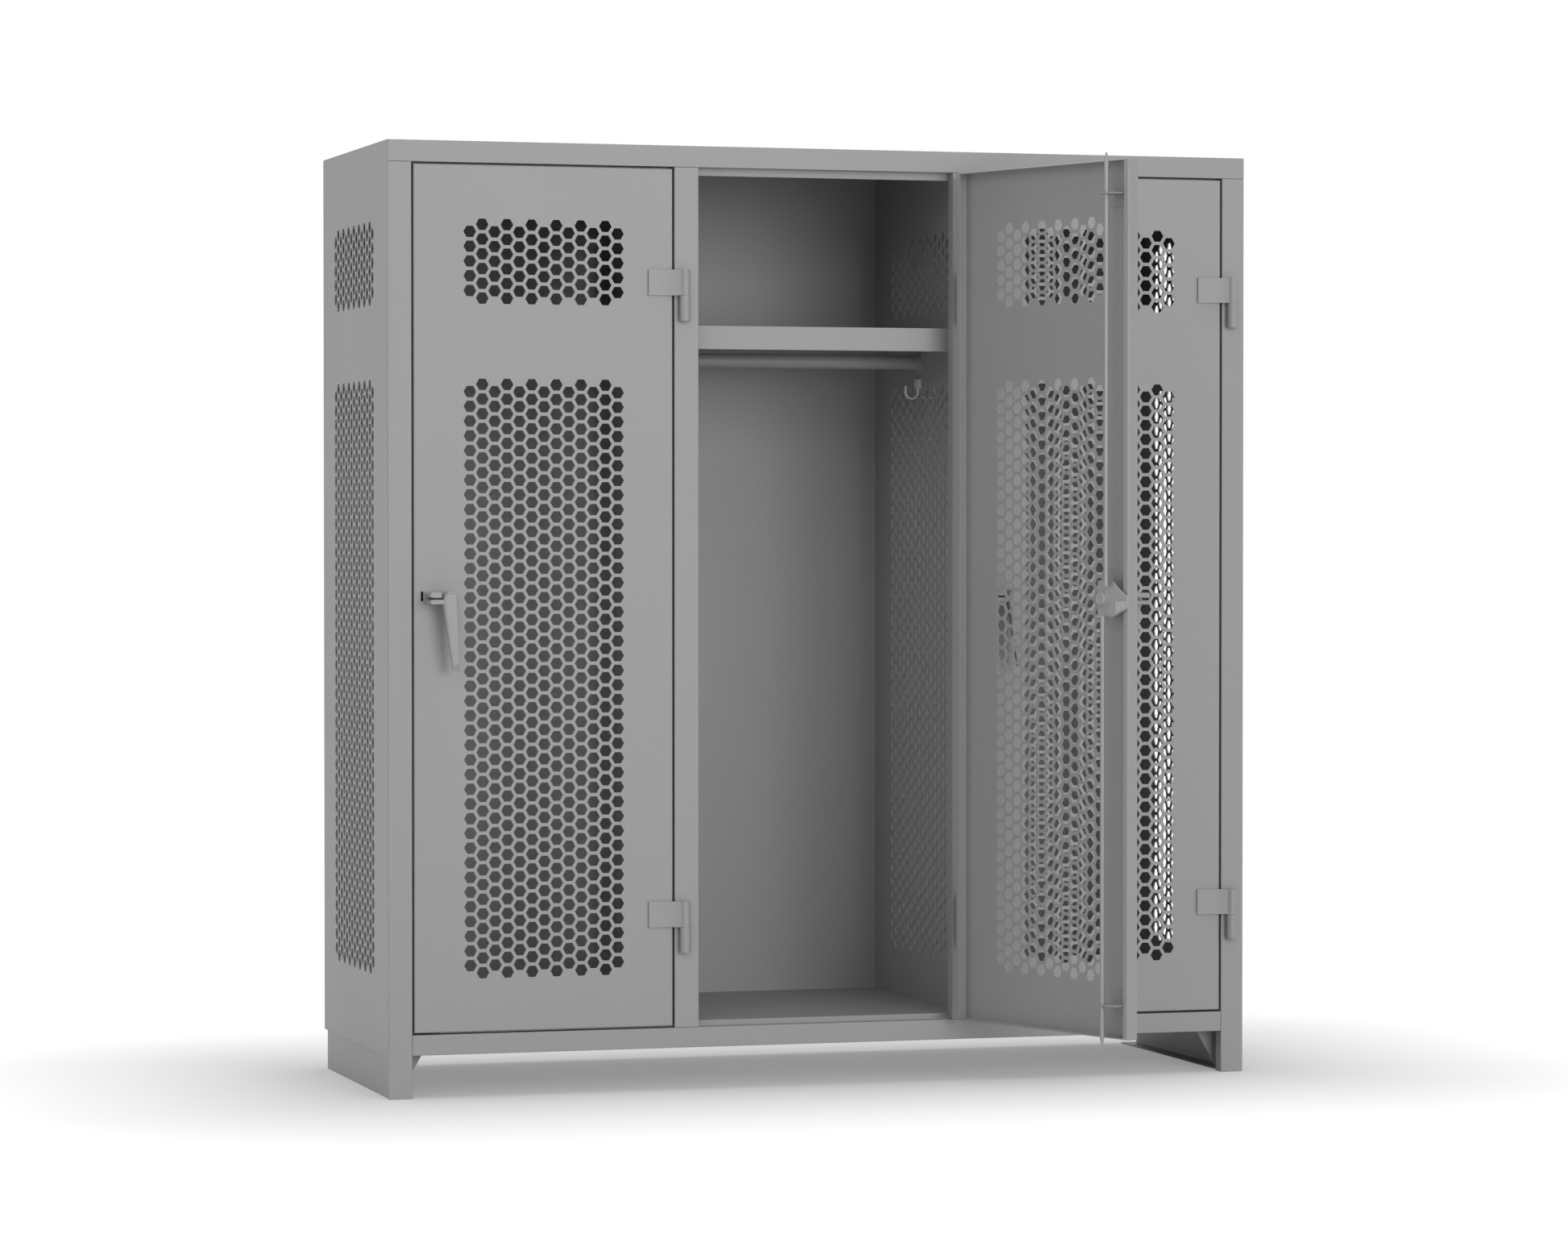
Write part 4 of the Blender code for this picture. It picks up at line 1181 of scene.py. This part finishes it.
@dataclass
class CoatRods:
    """Coat rods, each with a wall plate and a round socket at both ends."""

    shop: Workshop
    sides: int = 48
    radius: float = 0.015
    socket_wall: float = 0.0032
    socket_length: float = 0.011
    socket_round: float = 0.001
    plate: float = 0.003
    plate_edge: float = 0.0007

    def build(self) -> None:
        """Replace every coat rod."""
        inset = self.plate / 2
        outer = self.radius + self.socket_wall
        for bay in BAYS:
            node = f"coat_rod_{bay}"
            low, high = node_box(node)
            middle = (low + high) / 2
            turn = Matrix.Rotation(QUARTER, 4, "Y")
            place = Matrix.Translation((0, middle.y, middle.z)) @ turn
            bar = [(self.radius, low.x + inset), (self.radius, high.x - inset)]
            meshes = [turned(bar, place, self.sides)]
            for wall, way in ((low.x, 1), (high.x, -1)):
                end = wall + way * self.socket_length
                socket = [
                    (outer, wall + way * inset),
                    (outer, end - way * self.socket_round),
                    (outer - self.socket_round, end),
                ]
                meshes.append(turned(socket, place, self.sides))
                square = rectangle(low.y, high.y, low.z, high.z)
                plate = prism(square, 0, wall, wall + way * self.plate)
                meshes.append(softened(plate, self.plate_edge))
            self.shop.add(f"{node}_round", merged(meshes), "cabinet", Surface.FITTING, (node,))


@dataclass
class Hooks:
    """Coat hooks: a screwed block with a round wire bent out and up from it."""

    shop: Workshop
    wire_radius: float = 0.00265
    plate_thickness: float = 0.0055
    plate_height: float = 0.0195
    plate_width: float = 0.033
    plate_edge: float = 0.0008
    tip_above_plate: float = 0.0063
    screw_radius: float = 0.0030
    screw_rise: float = 0.0013
    screw_aside: float = 0.0105
    screw_sunk: float = 0.0001
    arc_steps: int = 20
    sides: int = 20
    # Shares of the screw's radius and rise, and of the wire's radius: back from its tip, and thick
    screw_shares: tuple[Spot, ...] = ((1.0, 0.0), (0.95, 0.5), (0.7, 0.9), (0.3, 1.0))
    tip_shares: tuple[Spot, ...] = ((1.0, 1.0), (0.3, 0.8), (0.0, 0.25))

    def build(self) -> None:
        """Replace every hook."""
        plated = self.shop.finishes.plated
        for body, node in owned_nodes():
            if node.startswith("coat_hook"):
                mesh = self._hook(node)
                self.shop.add(f"{node}_wire", mesh, body, Surface.FITTING, (node,), plated)

    def _hook(self, node: str) -> Mesh:
        """The mesh of one hook, in place of its CAD node."""
        low, high = node_box(node)
        way = 1 if node.endswith("bay_left") else -1
        wall = low.x if way > 0 else high.x
        middle = (low.y + high.y) / 2
        half = self.plate_width / 2
        plate_low = high.z - self.plate_height
        plate_middle = plate_low + self.plate_height / 2
        block = rectangle(middle - half, middle + half, plate_low, high.z)
        plate = prism(block, 0, wall, wall + way * self.plate_thickness)
        near = self.plate_thickness / 2
        far = high.x - low.x - self.wire_radius
        bend = (far - near) / 2
        bottom = low.z + self.wire_radius + bend
        points = [(near, plate_middle)]
        points += arc((near + bend, bottom), bend, math.pi, math.pi, self.arc_steps)
        radii = [self.wire_radius] * len(points)
        tip = plate_low + self.tip_above_plate
        for back, thick in self.tip_shares:
            points.append((far, tip - self.wire_radius * back))
            radii.append(self.wire_radius * thick)
        route = [Vector((wall + way * out, middle, height)) for out, height in points]
        wire = tube(route, radii, Vector((0, 1, 0)), self.sides)
        meshes = [softened(plate, self.plate_edge), wire]
        profile = [(self.screw_radius * out, self.screw_rise * up) for out, up in self.screw_shares]
        seat = wall + way * (self.plate_thickness - self.screw_sunk)
        for side in (-self.screw_aside, self.screw_aside):
            spot = Matrix.Translation((seat, middle + side, plate_middle))
            face = spot @ Matrix.Rotation(way * QUARTER, 4, "Y")
            meshes.append(turned(profile, face, self.sides))
        return merged(meshes)


@dataclass
class RefinedNodes:
    """CAD nodes whose shape is right, with merged skins and softened edges."""

    shop: Workshop
    bevels: tuple[tuple[str, float], ...] = (
        ("end_stile", 0.0012), ("mid_stile", 0.0012), ("header", 0.0010), ("bottom_rail", 0.0012),
        ("floor_panel", 0.0008), ("top_panel", 0.0010), ("back_panel", 0.0008),
        ("leg_skid", 0.0010), ("leg_gusset", 0.0006), ("shelf", 0.0010), ("hinge_leaf", 0.0006),
        ("escutcheon", 0.0006),
    )

    def build(self) -> None:
        """Replace every node that a bevel is given for."""
        subparts = frame["record"]["subparts"]
        surfaces = {part["node"]: Surface(part["material_slot"]) for part in subparts}
        for body, node in owned_nodes():
            for start, width in self.bevels:
                if node.startswith(start):
                    mesh = softened(node_copy(node), width)
                    self.shop.add(f"{node}_finished", mesh, body, surfaces[node], (node,))


@dataclass(frozen=True)
class Lamp:
    """A soft square lamp: where it stands, what it faces, its side and its power in watts."""

    name: str
    place: Triple
    aim: Triple
    size: float
    power: float

    def build(self) -> None:
        """Set up the lamp."""
        data = put(bpy.data.lights.new(self.name, "AREA"), size=self.size, energy=self.power)
        turn = (Vector(self.aim) - Vector(self.place)).to_track_quat("-Z", "Y").to_euler()
        put(linked(self.name, data), location=self.place, rotation_euler=turn)


@dataclass
class Studio:
    """Floor, light and camera."""

    camera_place: Triple = (-3.08915, -9.88601, 1.14430)
    camera_pitch: float = math.radians(90 - 1.0583)
    camera_yaw: float = math.radians(-16.9245)
    focal_pixels: float = 6275.74
    photo_width: float = 1946
    sensor: float = 36.0
    view_reach: float = 100.0
    world_level: float = 0.38
    floor_reach: float = 30.0
    lamps: tuple[Lamp, ...] = (
        Lamp("key", (2.2, -10.5, 2.6), (0, 0, 1.0), 5.0, 405),
        Lamp("front", (-4.5, -6.5, 5.0), (0, 0, 1.2), 4.0, 70),
        Lamp("top", (0.3, 0.6, 6.5), (0, 0.3, 0), 4.0, 150),
        Lamp("fill", (-7.0, 0.5, 0.4), (0, 0, 1.0), 3.0, 55),
    )

    def camera(self) -> None:
        """Place the camera at the photograph's angle."""
        data = bpy.data.cameras.new("photo_camera")
        lens = self.focal_pixels / self.photo_width * self.sensor
        put(data, sensor_width=self.sensor, lens=lens, clip_end=self.view_reach)
        turn = (self.camera_pitch, 0, self.camera_yaw)
        view = put(linked("photo_camera", data), location=self.camera_place, rotation_euler=turn)
        bpy.context.scene.camera = view

    def world(self) -> None:
        """Even pale light all round, white to the camera, to gloss and through glass."""
        world = bpy.data.worlds.new("studio")
        bpy.context.scene.world = world
        graph = ShaderGraph(world, "Background")
        graph.give({"Color": WHITE, "Strength": self.world_level})
        white = graph.node("ShaderNodeBackground", {"Color": WHITE, "Strength": 1.0})
        graph.blend(graph.seen(), white, "World Output")

    def floor(self) -> None:
        """A wide pale floor."""
        shape = bmesh.new()
        bmesh.ops.create_grid(shape, x_segments=1, y_segments=1, size=self.floor_reach)
        mesh = mesh_of(shape, "studio_floor")
        mesh.materials.append(PaleStage("pale_floor").material())
        thing = linked("studio_floor", mesh)

    def build(self) -> None:
        """Set up the whole studio."""
        bpy.context.scene.view_settings.view_transform = "Standard"
        self.world()
        self.floor()
        for lamp in self.lamps:
            lamp.build()
        self.camera()


def main() -> None:
    """Build the locker's looks, class by class."""
    shop = Workshop(Finishes())
    sheets = PerforatedSheets(HolePattern())
    screws = Screws(shop)
    Walls(shop, sheets, screws).build()
    screws.build()
    for bay in BAYS:
        door = Door(shop, sheets, bay)
        door.build()
        Handle(shop, door).build()
        Cam(shop, door).build()
    RoundBars(shop).build()
    CoatRods(shop).build()
    Hooks(shop).build()
    RefinedNodes(shop).build()
    Studio().build()
    LOG.info("%d pieces", shop.made)


if __name__ == "__main__":
    logging.basicConfig(level=logging.INFO)
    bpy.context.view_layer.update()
    main()
